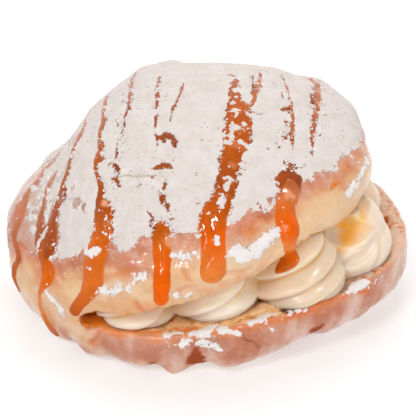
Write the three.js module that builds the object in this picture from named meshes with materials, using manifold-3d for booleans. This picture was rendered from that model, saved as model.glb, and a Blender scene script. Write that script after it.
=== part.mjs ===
// Split, glazed yeast bun standing open like a clam, filled with piped cream.
// Units are millimetres, +Z is up, the bun rests on its flat base at z = 0.
// The lower half, the raised upper half and the folded hinge side are three
// soft solids blended into one; a wedge shaped slit is then cut from the right.
import * as THREE from 'three';
import { mergeVertices } from 'three/addons/utils/BufferGeometryUtils.js';
import Module from 'manifold-3d';

// ---------------------------------------------------------------- dimensions
const ROLL = 4.5; // lean of the whole bun, lifting its open side

const LOWER_RADIUS = 49.6; // plan radius of the lower half
const LOWER_OVAL = 0.077; // two lobed deviation of that radius
const LOWER_OVAL_AT = 14.7; // direction of the long axis
const LOWER_TRI = 0.012; // three lobed deviation
const LOWER_TRI_AT = -3.6;
const LOWER_MID = 12.3; // height of the widest level
const LOWER_DOWN = 15.3; // depth below it, before the flat base
const LOWER_UP = 20.0; // height above it
const LOWER_POWER = 3.1; // squareness of the side profile

const UPPER_RADIUS = 45.3; // plan radius of the domed half
const UPPER_OVAL = 0.023;
const UPPER_OVAL_AT = 64.4;
const UPPER_TRI = 0.042;
const UPPER_TRI_AT = -1.3;
const UPPER_MID = 25.9;
const UPPER_DOWN = 18.2;
const UPPER_UP = 32.3;
const UPPER_POWER = 1.9;
const UPPER_X = 1.2; // centre of the dome
const UPPER_Y = -1.8;
const PEAK_X = -3.2; // drift of the dome towards its peak
const PEAK_Y = 2.8;

const FOLD = [-33.4, -2.2, 22.2]; // centre of the folded hinge side
const FOLD_SIZE = [23.2, 33.0, 18.2]; // its half sizes
const BLEND_HALVES = 11.5; // softness of the waist
const BLEND_FOLD = 7.9; // softness of the crease beside the fold

const SLIT_TURN = -7.1; // direction of the slit in plan
const SLIT_START = -28.6; // hinge line
const SLIT_ANGLE = 10.6; // opening angle
const SLIT_LEVEL = 16.9; // height of the hinge line
const SLIT_NOSE = 1.6; // half height of the rounded slit end
const DISH = 2.7; // hollow of the lower cut face
const GAP = 0.3; // clearance between the cream and the crumb

const STAR = 4; // ridges on each rosette
const SIDES = 6; // facets across each ridge
const TWIST = 16; // degrees of turn for each millimetre of height
const ROWS = 11; // levels of facets up a rosette
const RIDGE = 0.15; // depth of the grooves between ridges
const CORE = 0.64; // reach of the cream core, as a share of the lower radius
const CORE_FROM = 5.5; // distance of the core from the hinge line
// rosettes: centre in plan, radius and turn
const ROSETTES = [
  [-19.6, -33.4, 10.1, 10],
  [0.2, -30.0, 11.9, 40],
  [22.0, -27.4, 12.4, 20],
  [34.6, -13.0, 12.4, 68],
  [36.4, 10.6, 12.4, 15],
  [21.2, 28.2, 12.0, 48],
  [0.4, 31.6, 11.4, 5],
  [-13.4, 33.0, 8.0, 30],
];

// ------------------------------------------------------------------- helpers
const rad = THREE.MathUtils.degToRad;
const clamp = THREE.MathUtils.clamp;

function softMin(a, b, k) {
  const h = clamp(0.5 + (0.5 * (b - a)) / k, 0, 1);
  return b * (1 - h) + a * h - k * h * (1 - h);
}

// signed measure of a rounded, superelliptic lens
function lens(x, y, z, radius, mid, down, up, power) {
  const rho = Math.hypot(x, y) / radius;
  const dz = z < mid ? (mid - z) / down : (z - mid) / up;
  const g = Math.pow(Math.pow(rho, power) + Math.pow(dz, power), 1 / power) + 1e-9;
  return Math.hypot(x, y, z - mid) * (1 - 1 / g);
}

const COS_ROLL = Math.cos(rad(ROLL));
const SIN_ROLL = Math.sin(rad(ROLL));
const toBun = (x, y, z) => [x * COS_ROLL + z * SIN_ROLL, y, -x * SIN_ROLL + z * COS_ROLL];
const fromBun = (x, y, z) => [x * COS_ROLL - z * SIN_ROLL, y, x * SIN_ROLL + z * COS_ROLL];

const DX = Math.cos(rad(SLIT_TURN));
const DY = Math.sin(rad(SLIT_TURN));
const RISE = Math.tan(rad(SLIT_ANGLE));

// lower and upper face of the slit above a point of the plan
function slitFaces(x, y) {
  const s = x * DX + y * DY - SLIT_START;
  const c = clamp(s, 0, SLIT_NOSE);
  const nose = Math.sqrt(Math.max(SLIT_NOSE ** 2 - (SLIT_NOSE - c) ** 2, 0));
  const half = s < SLIT_NOSE ? nose : SLIT_NOSE + 0.5 * RISE * (s - SLIT_NOSE);
  const mid = SLIT_LEVEL + 0.5 * RISE * Math.max(s, 0);
  const rho = Math.hypot(x, y) / LOWER_RADIUS;
  const hollow = DISH * clamp(1 - rho ** 4, 0, 1) * clamp(s / 13.6, 0, 1);
  return { s, low: mid - half - hollow, up: mid + half };
}

// signed measure of the outside of the bun, before the slit
function outside(wx, wy, wz) {
  const [x, y, z] = toBun(wx, wy, wz);
  const th = Math.atan2(y, x);
  const lowerR =
    LOWER_RADIUS *
    (1 +
      LOWER_OVAL * Math.cos(2 * (th - rad(LOWER_OVAL_AT))) +
      LOWER_TRI * Math.cos(3 * (th - rad(LOWER_TRI_AT))));
  const lower = lens(x, y, z, lowerR, LOWER_MID, LOWER_DOWN, LOWER_UP, LOWER_POWER);

  // the upper half is turned open about the hinge line
  const s = x * DX + y * DY - SLIT_START;
  const t = -x * DY + y * DX;
  const ca = Math.cos(rad(SLIT_ANGLE));
  const sa = Math.sin(rad(SLIT_ANGLE));
  const s2 = s * ca + (z - SLIT_LEVEL) * sa + SLIT_START;
  const z2 = -s * sa + (z - SLIT_LEVEL) * ca + SLIT_LEVEL;
  const k = clamp((z2 - UPPER_MID) / UPPER_UP, 0, 1.5);
  const ux = s2 * DX - t * DY - UPPER_X - PEAK_X * k;
  const uy = s2 * DY + t * DX - UPPER_Y - PEAK_Y * k;
  const uth = Math.atan2(uy, ux);
  const upperR =
    UPPER_RADIUS *
    (1 +
      UPPER_OVAL * Math.cos(2 * (uth - rad(UPPER_OVAL_AT))) +
      UPPER_TRI * Math.cos(3 * (uth - rad(UPPER_TRI_AT))));
  const upper = lens(ux, uy, z2, upperR, UPPER_MID, UPPER_DOWN, UPPER_UP, UPPER_POWER);

  const a = (x - FOLD[0]) / FOLD_SIZE[0];
  const b = (y - FOLD[1]) / FOLD_SIZE[1];
  const c = (z - FOLD[2]) / FOLD_SIZE[2];
  const g = Math.hypot(a, b, c) + 1e-9;
  const fold = Math.hypot(x - FOLD[0], y - FOLD[1], z - FOLD[2]) * (1 - 1 / g);

  const body = softMin(softMin(lower, upper, BLEND_HALVES), fold, BLEND_FOLD);
  return Math.max(body, -wz);
}

// moves every vertex of a geometry and returns it as a closed, welded mesh
function reshape(geometry, move) {
  geometry.deleteAttribute('normal');
  geometry.deleteAttribute('uv');
  const pos = geometry.getAttribute('position');
  for (let i = 0; i < pos.count; i++) {
    const p = move(pos.getX(i), pos.getY(i), pos.getZ(i));
    pos.setXYZ(i, p[0], p[1], p[2]);
  }
  return mergeVertices(geometry, 1e-4);
}

const wasm = await Module();
wasm.setup();

function solid(geometry) {
  const index = geometry.getIndex().array;
  const keep = [];
  for (let i = 0; i < index.length; i += 3) {
    const [a, b, c] = [index[i], index[i + 1], index[i + 2]];
    if (a !== b && b !== c && c !== a) keep.push(a, b, c);
  }
  return new wasm.Manifold(
    new wasm.Mesh({
      numProp: 3,
      vertProperties: Float32Array.from(geometry.getAttribute('position').array),
      triVerts: Uint32Array.from(keep),
    })
  );
}

function toMesh(body, name, material) {
  const m = body.getMesh();
  const points = new Float32Array(m.numVert * 3);
  for (let i = 0; i < m.numVert; i++) {
    for (let a = 0; a < 3; a++) points[3 * i + a] = m.vertProperties[m.numProp * i + a];
  }
  const geometry = new THREE.BufferGeometry();
  geometry.setAttribute('position', new THREE.BufferAttribute(points, 3));
  geometry.setIndex(new THREE.BufferAttribute(Uint32Array.from(m.triVerts), 1));
  const mesh = new THREE.Mesh(geometry, material);
  mesh.name = name;
  return mesh;
}

// --------------------------------------------------------------------- shapes
// whole bun: a sphere of directions pushed out to the surface
function bunBody() {
  const centre = [-4.5, 0, 22];
  const sphere = new THREE.IcosahedronGeometry(1, 12);
  return solid(
    reshape(sphere, (x, y, z) => {
      const n = Math.hypot(x, y, z);
      const at = (r) => [centre[0] + (r * x) / n, centre[1] + (r * y) / n, centre[2] + (r * z) / n];
      let lo = 0;
      let hi = 110;
      for (let i = 0; i < 44; i++) {
        const r = 0.5 * (lo + hi);
        if (outside(...at(r)) < 0) lo = r;
        else hi = r;
      }
      const p = at(0.5 * (lo + hi));
      if (p[2] < 0.02) p[2] = 0;
      return p;
    })
  );
}

// wedge shaped slit, rounded at the hinge, running out through three sides
function slitBody() {
  const box = new THREE.BoxGeometry(1, 1, 1, 13, 14, 1);
  return solid(
    reshape(box, (u, v, w) => {
      const s = 0.1 + 100 * Math.pow(u + 0.5, 1.7);
      const t = 150 * v;
      const x = (s + SLIT_START) * DX - t * DY;
      const y = (s + SLIT_START) * DY + t * DX;
      const f = slitFaces(x, y);
      return fromBun(x, y, w < 0 ? f.low : f.up);
    })
  );
}

// ridge profile around a rosette: steep below each crest, easy above it
function ridge(turn) {
  const t = turn - Math.floor(turn);
  return t < 0.78 ? 1 - Math.pow(t / 0.78, 1.7) : (t - 0.78) / 0.22;
}

function rosette([cx, cy, radius, turn]) {
  const here = slitFaces(cx, cy);
  const height = 1.12 * (here.up - here.low);
  const barrel = new THREE.CylinderGeometry(1, 1, 1, STAR * SIDES, ROWS, false);
  // the facets are split along the ridges, which lean with the twist
  const index = barrel.getIndex();
  for (let q = 0; q < STAR * SIDES * ROWS; q++) {
    const [a, b, d, c] = [0, 1, 2, 4].map((i) => index.getX(6 * q + i));
    [a, b, c, a, c, d].forEach((v, i) => index.setX(6 * q + i, v));
  }
  return solid(
    reshape(barrel, (x, y, z) => {
      const h = y + 0.5;
      const share = Math.hypot(x, z);
      const th = Math.atan2(x, z);
      const swell = 0.93 + 0.07 * Math.sin(Math.PI * Math.min(h * 2.2, 1));
      const taper = 1 - 0.5 * Math.pow(h, 3.4);
      const groove = 1 - (RIDGE + 0.12 * h) * (1 - ridge((STAR * th) / (2 * Math.PI)));
      const r = radius * share * swell * taper * groove;
      const at = th + rad(turn + TWIST * h * height);
      const px = cx + r * Math.sin(-at);
      const py = cy + r * Math.cos(-at);
      const f = slitFaces(px, py);
      const pz = Math.min(f.low + GAP + h * height, f.up - GAP);
      return fromBun(px, py, pz);
    })
  );
}

// core of the filling: a disc between the cut faces, reaching in to the hinge
function coreBody() {
  const disc = new THREE.CylinderGeometry(1, 1, 1, 28, 1, false);
  return solid(
    reshape(disc, (x, y, z) => {
      const reach = CORE * LOWER_RADIUS;
      const px0 = 3 + reach * 1.08 * x;
      const py0 = -reach * z;
      const s0 = px0 * DX + py0 * DY - SLIT_START;
      const s = Math.max(s0, CORE_FROM);
      const px = px0 + (s - s0) * DX;
      const py = py0 + (s - s0) * DY;
      const f = slitFaces(px, py);
      return fromBun(px, py, y < 0 ? f.low + GAP : f.up - GAP);
    })
  );
}

// ------------------------------------------------------------------- assembly
const bunSolid = bunBody().subtract(slitBody());
let creamSolid = coreBody();
for (const r of ROSETTES) creamSolid = creamSolid.add(rosette(r));

const bun = toMesh(
  bunSolid,
  'bun',
  new THREE.MeshStandardMaterial({ color: 0xdba98c, roughness: 0.55, metalness: 0 })
);
const cream = toMesh(
  creamSolid,
  'cream',
  new THREE.MeshStandardMaterial({ color: 0xf0dcbf, roughness: 0.4, metalness: 0 })
);

// the origin is the middle of the footprint, on the ground
const part = new THREE.Group();
part.name = 'cream_filled_doughnut';
part.add(bun, cream);
const box = new THREE.Box3().setFromObject(part);
const middle = box.getCenter(new THREE.Vector3());
for (const mesh of part.children) mesh.geometry.translate(-middle.x, -middle.y, -box.min.z);

export default part;
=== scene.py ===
"""Split, glazed yeast doughnut: piped cream, caramel drizzle and powdered sugar.

Lengths in the functions are millimetres in the part's frame; meshes are written
in metres. The bun is an implicit solid with the same dimensions as the part.
"""
import math

import bpy
import numpy as np
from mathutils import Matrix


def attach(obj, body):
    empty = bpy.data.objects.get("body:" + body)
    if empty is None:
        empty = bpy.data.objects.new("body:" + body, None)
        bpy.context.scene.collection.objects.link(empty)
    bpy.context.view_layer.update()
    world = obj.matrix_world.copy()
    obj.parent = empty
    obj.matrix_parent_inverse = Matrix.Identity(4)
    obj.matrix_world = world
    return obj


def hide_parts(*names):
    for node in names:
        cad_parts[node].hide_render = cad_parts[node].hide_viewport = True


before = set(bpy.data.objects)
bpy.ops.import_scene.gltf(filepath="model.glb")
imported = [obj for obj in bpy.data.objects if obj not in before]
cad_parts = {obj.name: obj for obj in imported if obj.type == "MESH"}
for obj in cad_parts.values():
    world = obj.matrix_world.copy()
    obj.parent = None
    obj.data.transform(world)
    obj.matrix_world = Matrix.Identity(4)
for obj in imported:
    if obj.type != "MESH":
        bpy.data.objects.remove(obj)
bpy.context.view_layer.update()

import openvdb
from mathutils import Vector, kdtree

rng = np.random.default_rng(41)
rad = math.radians

# ----------------------------------------------------------------- dimensions
OX, OY = 2.886, 0.7465  # middle of the footprint
ROLL = rad(4.5)
RB, B2, B2A, B3, B3A = 49.6, 0.077, rad(14.7), 0.012, rad(-3.6)
ZB, HLOW, HUPB, PB = 12.3, 15.3, 20.0, 3.1
RT, T2, T2A, T3, T3A = 45.3, 0.023, rad(64.4), 0.042, rad(-1.3)
ZT, HLOWT, HUP, PT = 25.9, 18.2, 32.3, 1.9
TCX, TCY, APX, APY = 1.2, -1.8, -3.2, 2.8
FOLD = (-33.4, -2.2, 22.2)
FOLD_R = (23.2, 33.0, 18.2)
K_HALVES, K_FOLD = 11.5, 7.9
DA, SH, ALPHA, ZC, R0, DISH = rad(-7.1), -28.6, rad(10.6), 16.9, 1.6, 2.7
DX, DY, RISE = math.cos(DA), math.sin(DA), math.tan(ALPHA)
CR, SR = math.cos(ROLL), math.sin(ROLL)

# rosettes: centre in plan, radius, turn, narrowing to the top, ridges, twist in degrees a millimetre, depth of the creases
ROSETTES = [
    (-20.1, -33.4, 10.3, 10, 0.45, 4, 16.0, 0.13),
    (0.2, -30.0, 11.9, 40, 0.5, 4, 16.0, 0.13),
    (22.0, -27.4, 12.4, 20, 0.5, 4, 16.0, 0.14),
    (34.7, -13.4, 12.6, 68, 0.5, 3, 8.0, 0.0),
    (34.9, 10.4, 12.2, 15, 0.75, 7, 6.0, 0.14),
    (21.2, 28.2, 12.0, 48, 0.5, 4, 16.0, 0.13),
    (0.4, 31.6, 11.4, 5, 0.5, 4, 16.0, 0.13),
    (-13.4, 33.0, 8.0, 30, 0.45, 4, 16.0, 0.13),
]

# camera of the main view
CAM = np.array([2.886, -363.796, 217.446])
AIM = np.array([-0.064, -1.855, 25.816])
FOCAL = 1507.46  # in pixels of a picture 416 wide


# ---------------------------------------------------------------------- noise
_perm = np.random.default_rng(7).permutation(256)
_perm = np.concatenate([_perm, _perm]).astype(np.int32)
_g = np.random.default_rng(8).normal(size=(256, 3))
_g = (_g / np.linalg.norm(_g, axis=1, keepdims=True)).astype(np.float32)


def noise(p, size, seed=0):
    """Gradient noise, about -1..1, of the given grain size."""
    q = (p / size + np.array([seed * 3.71, seed * 7.13, seed * 1.97])).astype(np.float32)
    i = np.floor(q)
    f = q - i
    i = i.astype(np.int32) & 255
    u = f * f * f * (f * (f * 6 - 15) + 10)
    out = np.zeros(len(q), np.float32)
    for a in (0, 1):
        wa = u[:, 0] if a else 1 - u[:, 0]
        ha = _perm[(i[:, 0] + a) & 255]
        for b in (0, 1):
            wb = wa * (u[:, 1] if b else 1 - u[:, 1])
            hb = _perm[(ha + i[:, 1] + b) & 255]
            for c in (0, 1):
                w = wb * (u[:, 2] if c else 1 - u[:, 2])
                g = _g[_perm[(hb + i[:, 2] + c) & 255]]
                out += w * (g[:, 0] * (f[:, 0] - a) + g[:, 1] * (f[:, 1] - b) + g[:, 2] * (f[:, 2] - c))
    return out * 1.5


def fbm(p, size, octaves, seed=0, gain=0.5):
    out, amp = 0, 1.0
    for k in range(octaves):
        out = out + amp * noise(p, size / 2**k, seed + 5 * k)
        amp *= gain
    return out


def smooth(lo, hi, x):
    t = np.clip((x - lo) / (hi - lo), 0, 1)
    return t * t * (3 - 2 * t)


def smin(a, b, k):
    h = np.clip(0.5 + 0.5 * (b - a) / k, 0, 1)
    return b * (1 - h) + a * h - k * h * (1 - h)


def smax(a, b, k):
    return -smin(-a, -b, k)


def lerp(a, b, t):
    return a + (b - a) * t


# ---------------------------------------------------------------------- shape
def to_bun(p):
    x, y, z = p[:, 0] - OX, p[:, 1] - OY, p[:, 2]
    return x * CR + z * SR, y, -x * SR + z * CR


def lens(x, y, z, radius, mid, down, up, power):
    rho = np.hypot(x, y) / radius
    dz = np.where(z < mid, (mid - z) / down, (z - mid) / up)
    g = (rho**power + dz**power) ** (1 / power) + 1e-9
    return np.sqrt(x * x + y * y + (z - mid) ** 2) * (1 - 1 / g)


def upper_frame(x, y, z):
    s = x * DX + y * DY - SH
    t = -x * DY + y * DX
    ca, sa = math.cos(ALPHA), math.sin(ALPHA)
    s2 = s * ca + (z - ZC) * sa + SH
    z2 = -s * sa + (z - ZC) * ca + ZC
    k = np.clip((z2 - ZT) / HUP, 0, 1.5)
    return s2 * DX - t * DY - TCX - APX * k, s2 * DY + t * DX - TCY - APY * k, z2


def outer(x, y, z):
    th = np.arctan2(y, x)
    r = RB * (1 + B2 * np.cos(2 * (th - B2A)) + B3 * np.cos(3 * (th - B3A)))
    lower = lens(x, y, z, r, ZB, HLOW, HUPB, PB)
    ux, uy, z2 = upper_frame(x, y, z)
    th = np.arctan2(uy, ux)
    r = RT * (1 + T2 * np.cos(2 * (th - T2A)) + T3 * np.cos(3 * (th - T3A)))
    upper = lens(ux, uy, z2, r, ZT, HLOWT, HUP, PT)
    dx, dy, dz = x - FOLD[0], y - FOLD[1], z - FOLD[2]
    g = np.sqrt((dx / FOLD_R[0]) ** 2 + (dy / FOLD_R[1]) ** 2 + (dz / FOLD_R[2]) ** 2) + 1e-9
    fold = np.sqrt(dx * dx + dy * dy + dz * dz) * (1 - 1 / g)
    return smin(smin(lower, upper, K_HALVES), fold, K_FOLD)


def slit(x, y):
    """Distance from the hinge line, lower and upper face of the slit."""
    front = smooth(-18, -30, y)
    s = x * DX + y * DY - SH + 0.7 * front
    nose = np.sqrt(np.clip(R0 * R0 - (R0 - np.clip(s, 0, R0)) ** 2, 0, None))
    half = np.where(s < R0, nose, R0 + 0.5 * RISE * (s - R0))
    half = np.where(s < 0, -0.6 * np.abs(s), half)
    mid = ZC + 0.5 * RISE * np.clip(s, 0, None) - 2.2 * front * smooth(7.0, -0.5, s)  # the end of the mouth hangs at the front
    rho = np.hypot(x, y) / RB
    hollow = DISH * np.clip(1 - rho**4, 0, 1) * np.clip(s / 13.6, 0, 1)
    # the mouth sags at the front left
    sag = np.exp(-((x + 16) ** 2 + (y + 46) ** 2) / (2 * 11.0**2)) * smooth(1, 10, s)
    hollow = hollow + 1.5 * sag
    tear = np.exp(-((x - 25.5) ** 2 + (y + 36.5) ** 2) / (2 * 6.0**2))
    hole = np.exp(-((x + 31.5) ** 2 + (y + 40) ** 2) / (2 * 4.0**2)) * smooth(0, 2, s)
    return s, mid - half - hollow - 1.2 * hole, mid + half - 0.55 * smooth(2, 12, s) - 0.8 * sag + 4.0 * tear


bump_q, bump_a, bump_k = np.zeros((0, 3), np.float32), np.zeros(0, np.float32), np.zeros(0, np.float32)  # soft swellings of the crust


def swell(p):
    if not len(bump_a):
        return 0.0
    q = p.astype(np.float32)
    d = np.sum(q * q, axis=1)[:, None] + np.sum(bump_q * bump_q, axis=1)[None] - 2 * q @ bump_q.T
    return np.exp(-np.clip(d, 0, None) * bump_k) @ bump_a


def bun_parts(p):
    x, y, z = to_bun(p)
    o = outer(x, y, z) - swell(p)
    o = smax(o, -p[:, 2], 1.6)
    s, low, up = slit(x, y)
    w = np.maximum(low - z, z - up)
    return o, w, s, low, up, x, y, z


def bun_field(p):
    o, w, s, low, up, x, y, z = bun_parts(p)
    above = smooth(-1, 1, z - 0.5 * (low + up))
    return smax(o, -w, 1.2 + 1.3 * above * smooth(0, 12, s))


def gradient(field, p, e=0.12):
    g = np.empty_like(p)
    for a in range(3):
        q = p.copy()
        q[:, a] += e
        r = p.copy()
        r[:, a] -= e
        g[:, a] = (field(q) - field(r)) / (2 * e)
    return g


def normals_of(field, p):
    g = gradient(field, p)
    return g / (np.linalg.norm(g, axis=1, keepdims=True) + 1e-9)


def settle(field, p, times=2, most=0.5):
    for _ in range(times):
        g = gradient(field, p)
        d = field(p) / (np.sum(g * g, axis=1) + 1e-6)
        p = p - np.clip(d, -most, most)[:, None] * g
    return p


def iso_quads(grid, lo, h):
    """Quads of the zero level of an array of signed values."""
    g = openvdb.FloatGrid(9.0)
    g.copyFromArray(grid.astype(np.float32))
    g.transform = openvdb.createLinearTransform(voxelSize=h)
    pts, quads = g.convertToQuads(isovalue=0.0)
    pts = np.asarray(pts, np.float64) + lo
    quads = np.asarray(quads, np.int64)
    a, b, c, d = (pts[quads[:, k]] for k in range(4))
    if np.einsum("ij,ij->i", a, np.cross(b, c)).sum() + np.einsum("ij,ij->i", a, np.cross(c, d)).sum() < 0:
        quads = quads[:, ::-1]
    return pts, quads


def sample_band(field, lo, hi, h, block=4):
    """Array of a field near its zero level; far from it only the sign is right."""
    lo, hi = np.asarray(lo, float), np.asarray(hi, float)
    n = np.ceil((hi - lo) / (h * block)).astype(int)
    c = np.stack(np.meshgrid(*[np.arange(k) for k in n], indexing="ij"), -1).reshape(-1, 3)
    mid = lo + (c * block + (block - 1) / 2) * h
    f = field(mid)
    near = np.abs(f) < 1.3 * h * block
    blocks = np.where(f[:, None] < 0, -9.0, 9.0).astype(np.float32) * np.ones((1, block**3), np.float32)
    off = np.stack(np.meshgrid(*[np.arange(block)] * 3, indexing="ij"), -1).reshape(-1, 3)
    pts = lo + (c[near][:, None, :] * block + off[None]) * h
    blocks[near] = field(pts.reshape(-1, 3)).reshape(-1, block**3)
    out = blocks.reshape(*n, block, block, block).transpose(0, 3, 1, 4, 2, 5)
    return out.reshape(*(n * block))


def relax(p, quads, times, keep=0.5):
    """Evens out a mesh by moving points towards the mean of their neighbours."""
    e = np.concatenate([quads[:, [0, 1]], quads[:, [1, 2]], quads[:, [2, 3]], quads[:, [3, 0]]])
    e = np.concatenate([e, e[:, ::-1]])
    count = np.bincount(e[:, 0], minlength=len(p)).astype(float)[:, None] + 1e-9
    for _ in range(times):
        acc = np.stack([np.bincount(e[:, 0], weights=p[e[:, 1], a], minlength=len(p)) for a in range(3)], 1)
        p = lerp(p, acc / count, keep)
    return p


def compact(p, faces, *extra):
    used = np.zeros(len(p), bool)
    used[faces.ravel()] = True
    new = np.cumsum(used) - 1
    return (p[used], new[faces]) + tuple(x[used] for x in extra)


def refine(p, quads, where):
    """Splits the chosen quads in four; gives points and triangles without gaps."""
    n = len(p)
    ends = np.stack([quads, np.roll(quads, -1, 1)], 2)  # face, side, end
    ends.sort(axis=2)
    code = ends[:, :, 0] * n + ends[:, :, 1]
    split = np.unique(code[where])
    mid = 0.5 * (p[split // n] + p[split % n])
    spot = np.searchsorted(split, code).clip(0, len(split) - 1)
    halved = split[spot] == code
    side = np.where(halved, n + spot, -1)
    centre = p[quads[where]].mean(1)
    c = n + len(split) + np.arange(len(centre))
    q, s = quads[where], side[where]
    small = [np.stack([q[:, k], s[:, k], c, s[:, k - 1]], 1) for k in range(4)]
    plain = ~where & ~halved.any(1)
    small = np.concatenate(small + [quads[plain]])
    tri = [small[:, [0, 1, 2]], small[:, [0, 2, 3]]]
    # faces beside split ones: a fan from one of the halved sides
    odd = np.flatnonzero(~where & halved.any(1))
    fans = []
    for f in odd:
        ring = []
        for k in range(4):
            ring.append(quads[f, k])
            if side[f, k] >= 0:
                ring.append(side[f, k])
        k = next(i for i, v in enumerate(ring) if v >= n)
        ring = ring[k:] + ring[:k]
        fans.extend((ring[0], ring[i], ring[i + 1]) for i in range(1, len(ring) - 1))
    return np.concatenate([p, mid, centre]), np.concatenate(tri + ([np.array(fans)] if fans else []))


def make_mesh(name, p, faces, material, colour=None, values=None):
    faces = np.asarray(faces)
    k = faces.shape[1]
    me = bpy.data.meshes.new(name)
    me.vertices.add(len(p))
    me.vertices.foreach_set("co", (p * 0.001).astype(np.float32).ravel())
    me.loops.add(faces.size)
    me.loops.foreach_set("vertex_index", faces.astype(np.int32).ravel())
    me.polygons.add(len(faces))
    me.polygons.foreach_set("loop_start", np.arange(0, faces.size, k, dtype=np.int32))
    me.polygons.foreach_set("loop_total", np.full(len(faces), k, np.int32))
    me.update(calc_edges=True)
    me.validate()
    me.polygons.foreach_set("use_smooth", np.ones(len(me.polygons), bool))
    if colour is not None:
        rgba = np.ones((len(p), 4), np.float32)
        rgba[:, :3] = colour
        at = me.attributes.new("col", "FLOAT_COLOR", "POINT")
        at.data.foreach_set("color", rgba.ravel())
    for key, v in (values or {}).items():
        at = me.attributes.new(key, "FLOAT", "POINT")
        at.data.foreach_set("value", np.asarray(v, np.float32))
    me.materials.append(material)
    ob = bpy.data.objects.new(name, me)
    bpy.context.scene.collection.objects.link(ob)
    return ob


def srgb(*c):
    c = np.array(c, float) / 255
    return np.where(c <= 0.04045, c / 12.92, ((c + 0.055) / 1.055) ** 2.4)


# ------------------------------------------------------- the main view's rays
FW = (AIM - CAM) / np.linalg.norm(AIM - CAM)
RIGHT = np.cross(FW, [0, 0, 1.0])
RIGHT /= np.linalg.norm(RIGHT)
UP = np.cross(RIGHT, FW)


def cast(uv, field=None):
    """Points of the bun, or of another solid, under places of the main view."""
    field = field or bun_field
    uv = np.asarray(uv, float)
    d = FW + ((uv[:, 0] - 208) / FOCAL)[:, None] * RIGHT - ((uv[:, 1] - 208) / FOCAL)[:, None] * UP
    d /= np.linalg.norm(d, axis=1, keepdims=True)
    t = np.full(len(uv), 300.0)
    best, best_f = t.copy(), np.full(len(uv), 1e9)
    live = np.ones(len(uv), bool)
    for _ in range(220):
        f = field(CAM + d * t[:, None])
        better = live & (f < best_f)
        best[better], best_f[better] = t[better], f[better]
        live &= f > 0.01
        t = np.where(live, t + np.maximum(0.6 * f, 0.02), t)
        live &= t < 520
        if not live.any():
            break
    return CAM + d * best[:, None]


def seen_at(p):
    q = p - CAM
    z = q @ FW
    return np.stack([208 + FOCAL * (q @ RIGHT) / z, 208 - FOCAL * (q @ UP) / z], 1), z


def curve(points, step):
    """Smooth curve through rows of numbers, stepping by the first two."""
    a = np.asarray(points, float)
    if len(a) == 2:
        a = np.stack([a[0], a.mean(0), a[1]])
    a = np.concatenate([2 * a[:1] - a[1:2], a, 2 * a[-1:] - a[-2:-1]])
    out = []
    for i in range(1, len(a) - 2):
        n = max(2, int(np.linalg.norm(a[i + 1, :2] - a[i, :2]) / step))
        t = (np.arange(n) / n)[:, None]
        p0, p1, p2, p3 = a[i - 1 : i + 3]
        out.append(0.5 * (2 * p1 + (p2 - p0) * t + (2 * p0 - 5 * p1 + 4 * p2 - p3) * t**2 + (3 * p1 - p0 - 3 * p2 + p3) * t**3))
    out.append(a[-2:-1])
    return np.concatenate(out)


# ---------------------------------------------------------------- cream shape
def ridge(turn):
    """Outline of one band from its lower crease to its upper one."""
    t = np.ceil(turn) - turn
    return np.where(t < 0.3, 1 - (1 - t / 0.3) ** 2.2, 1 - np.clip((t - 0.3) / 0.7, 0, 1) ** 1.7)


def rosette_field(x, y, z, low, up, spec):
    cx, cy, radius, turn, narrow, star, twist, deep = spec
    _, l0, u0 = slit(np.array([cx]), np.array([cy]))
    tall = 1.12 * float(u0[0] - l0[0])
    r = np.hypot(x - cx, y - cy)
    th = np.arctan2(y - cy, x - cx)
    up_from = z - low
    h = np.clip(up_from / tall, 0, 1.2)
    swell = 0.93 + 0.07 * np.sin(math.pi * np.minimum(h * 2.2, 1))
    taper = np.clip(1 - narrow * h ** (4.2 - 2.6 * narrow), 0.05, 1)
    phase = star * (th - rad(turn) - rad(twist) * up_from) / (2 * math.pi)
    cut = deep * (1 + 1.5 * h * h) * (1 - ridge(phase))
    f = (r - radius * swell * taper * (1.03 - cut)) * 0.75
    return f, phase, h


carve_q, carve_r = np.zeros((0, 3)), np.zeros(0)  # balls cut out of the cream along its deep valleys


def cream_field(p, detail=False):
    x, y, z = to_bun(p)
    s, low, up = slit(x, y)
    core = np.maximum(np.hypot((x - 3) / 1.08, y) - 0.64 * RB, 5.5 - s)
    f = core
    cave = np.zeros(len(p))
    for spec in ROSETTES:
        near = np.hypot(x - spec[0], y - spec[1]) < spec[2] + 4
        if near.any():
            g, phase, h = rosette_field(x[near], y[near], z[near], low[near], up[near], spec)
            if detail:
                better = g < f[near]
                c = cave[near]
                c[better] = (1 - ridge(phase))[better]
                cave[near] = c
            f[near] = smin(f[near], g, 0.4)
    for q, r in zip(carve_q, carve_r):
        near = np.abs(p - q).max(1) < r + 2.0
        if near.any():
            f[near] = smax(f[near], r - np.linalg.norm(p[near] - q, axis=1), 0.9)
    f = smax(f, low + 0.05 - z, 0.5)
    f = smax(f, z - (up - 0.1), 0.5)
    return (f, cave) if detail else f


# -------------------------------------------------------------------- outline
# soft swellings of the crust in the main view: across, down, then height and reach in millimetres
SWELLS = [(216, 262, 0.5, 6.0), (120, 300, 0.5, 7.0), (60, 290, 0.4, 4.0), (320, 215, 0.5, 6.0)]
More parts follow.
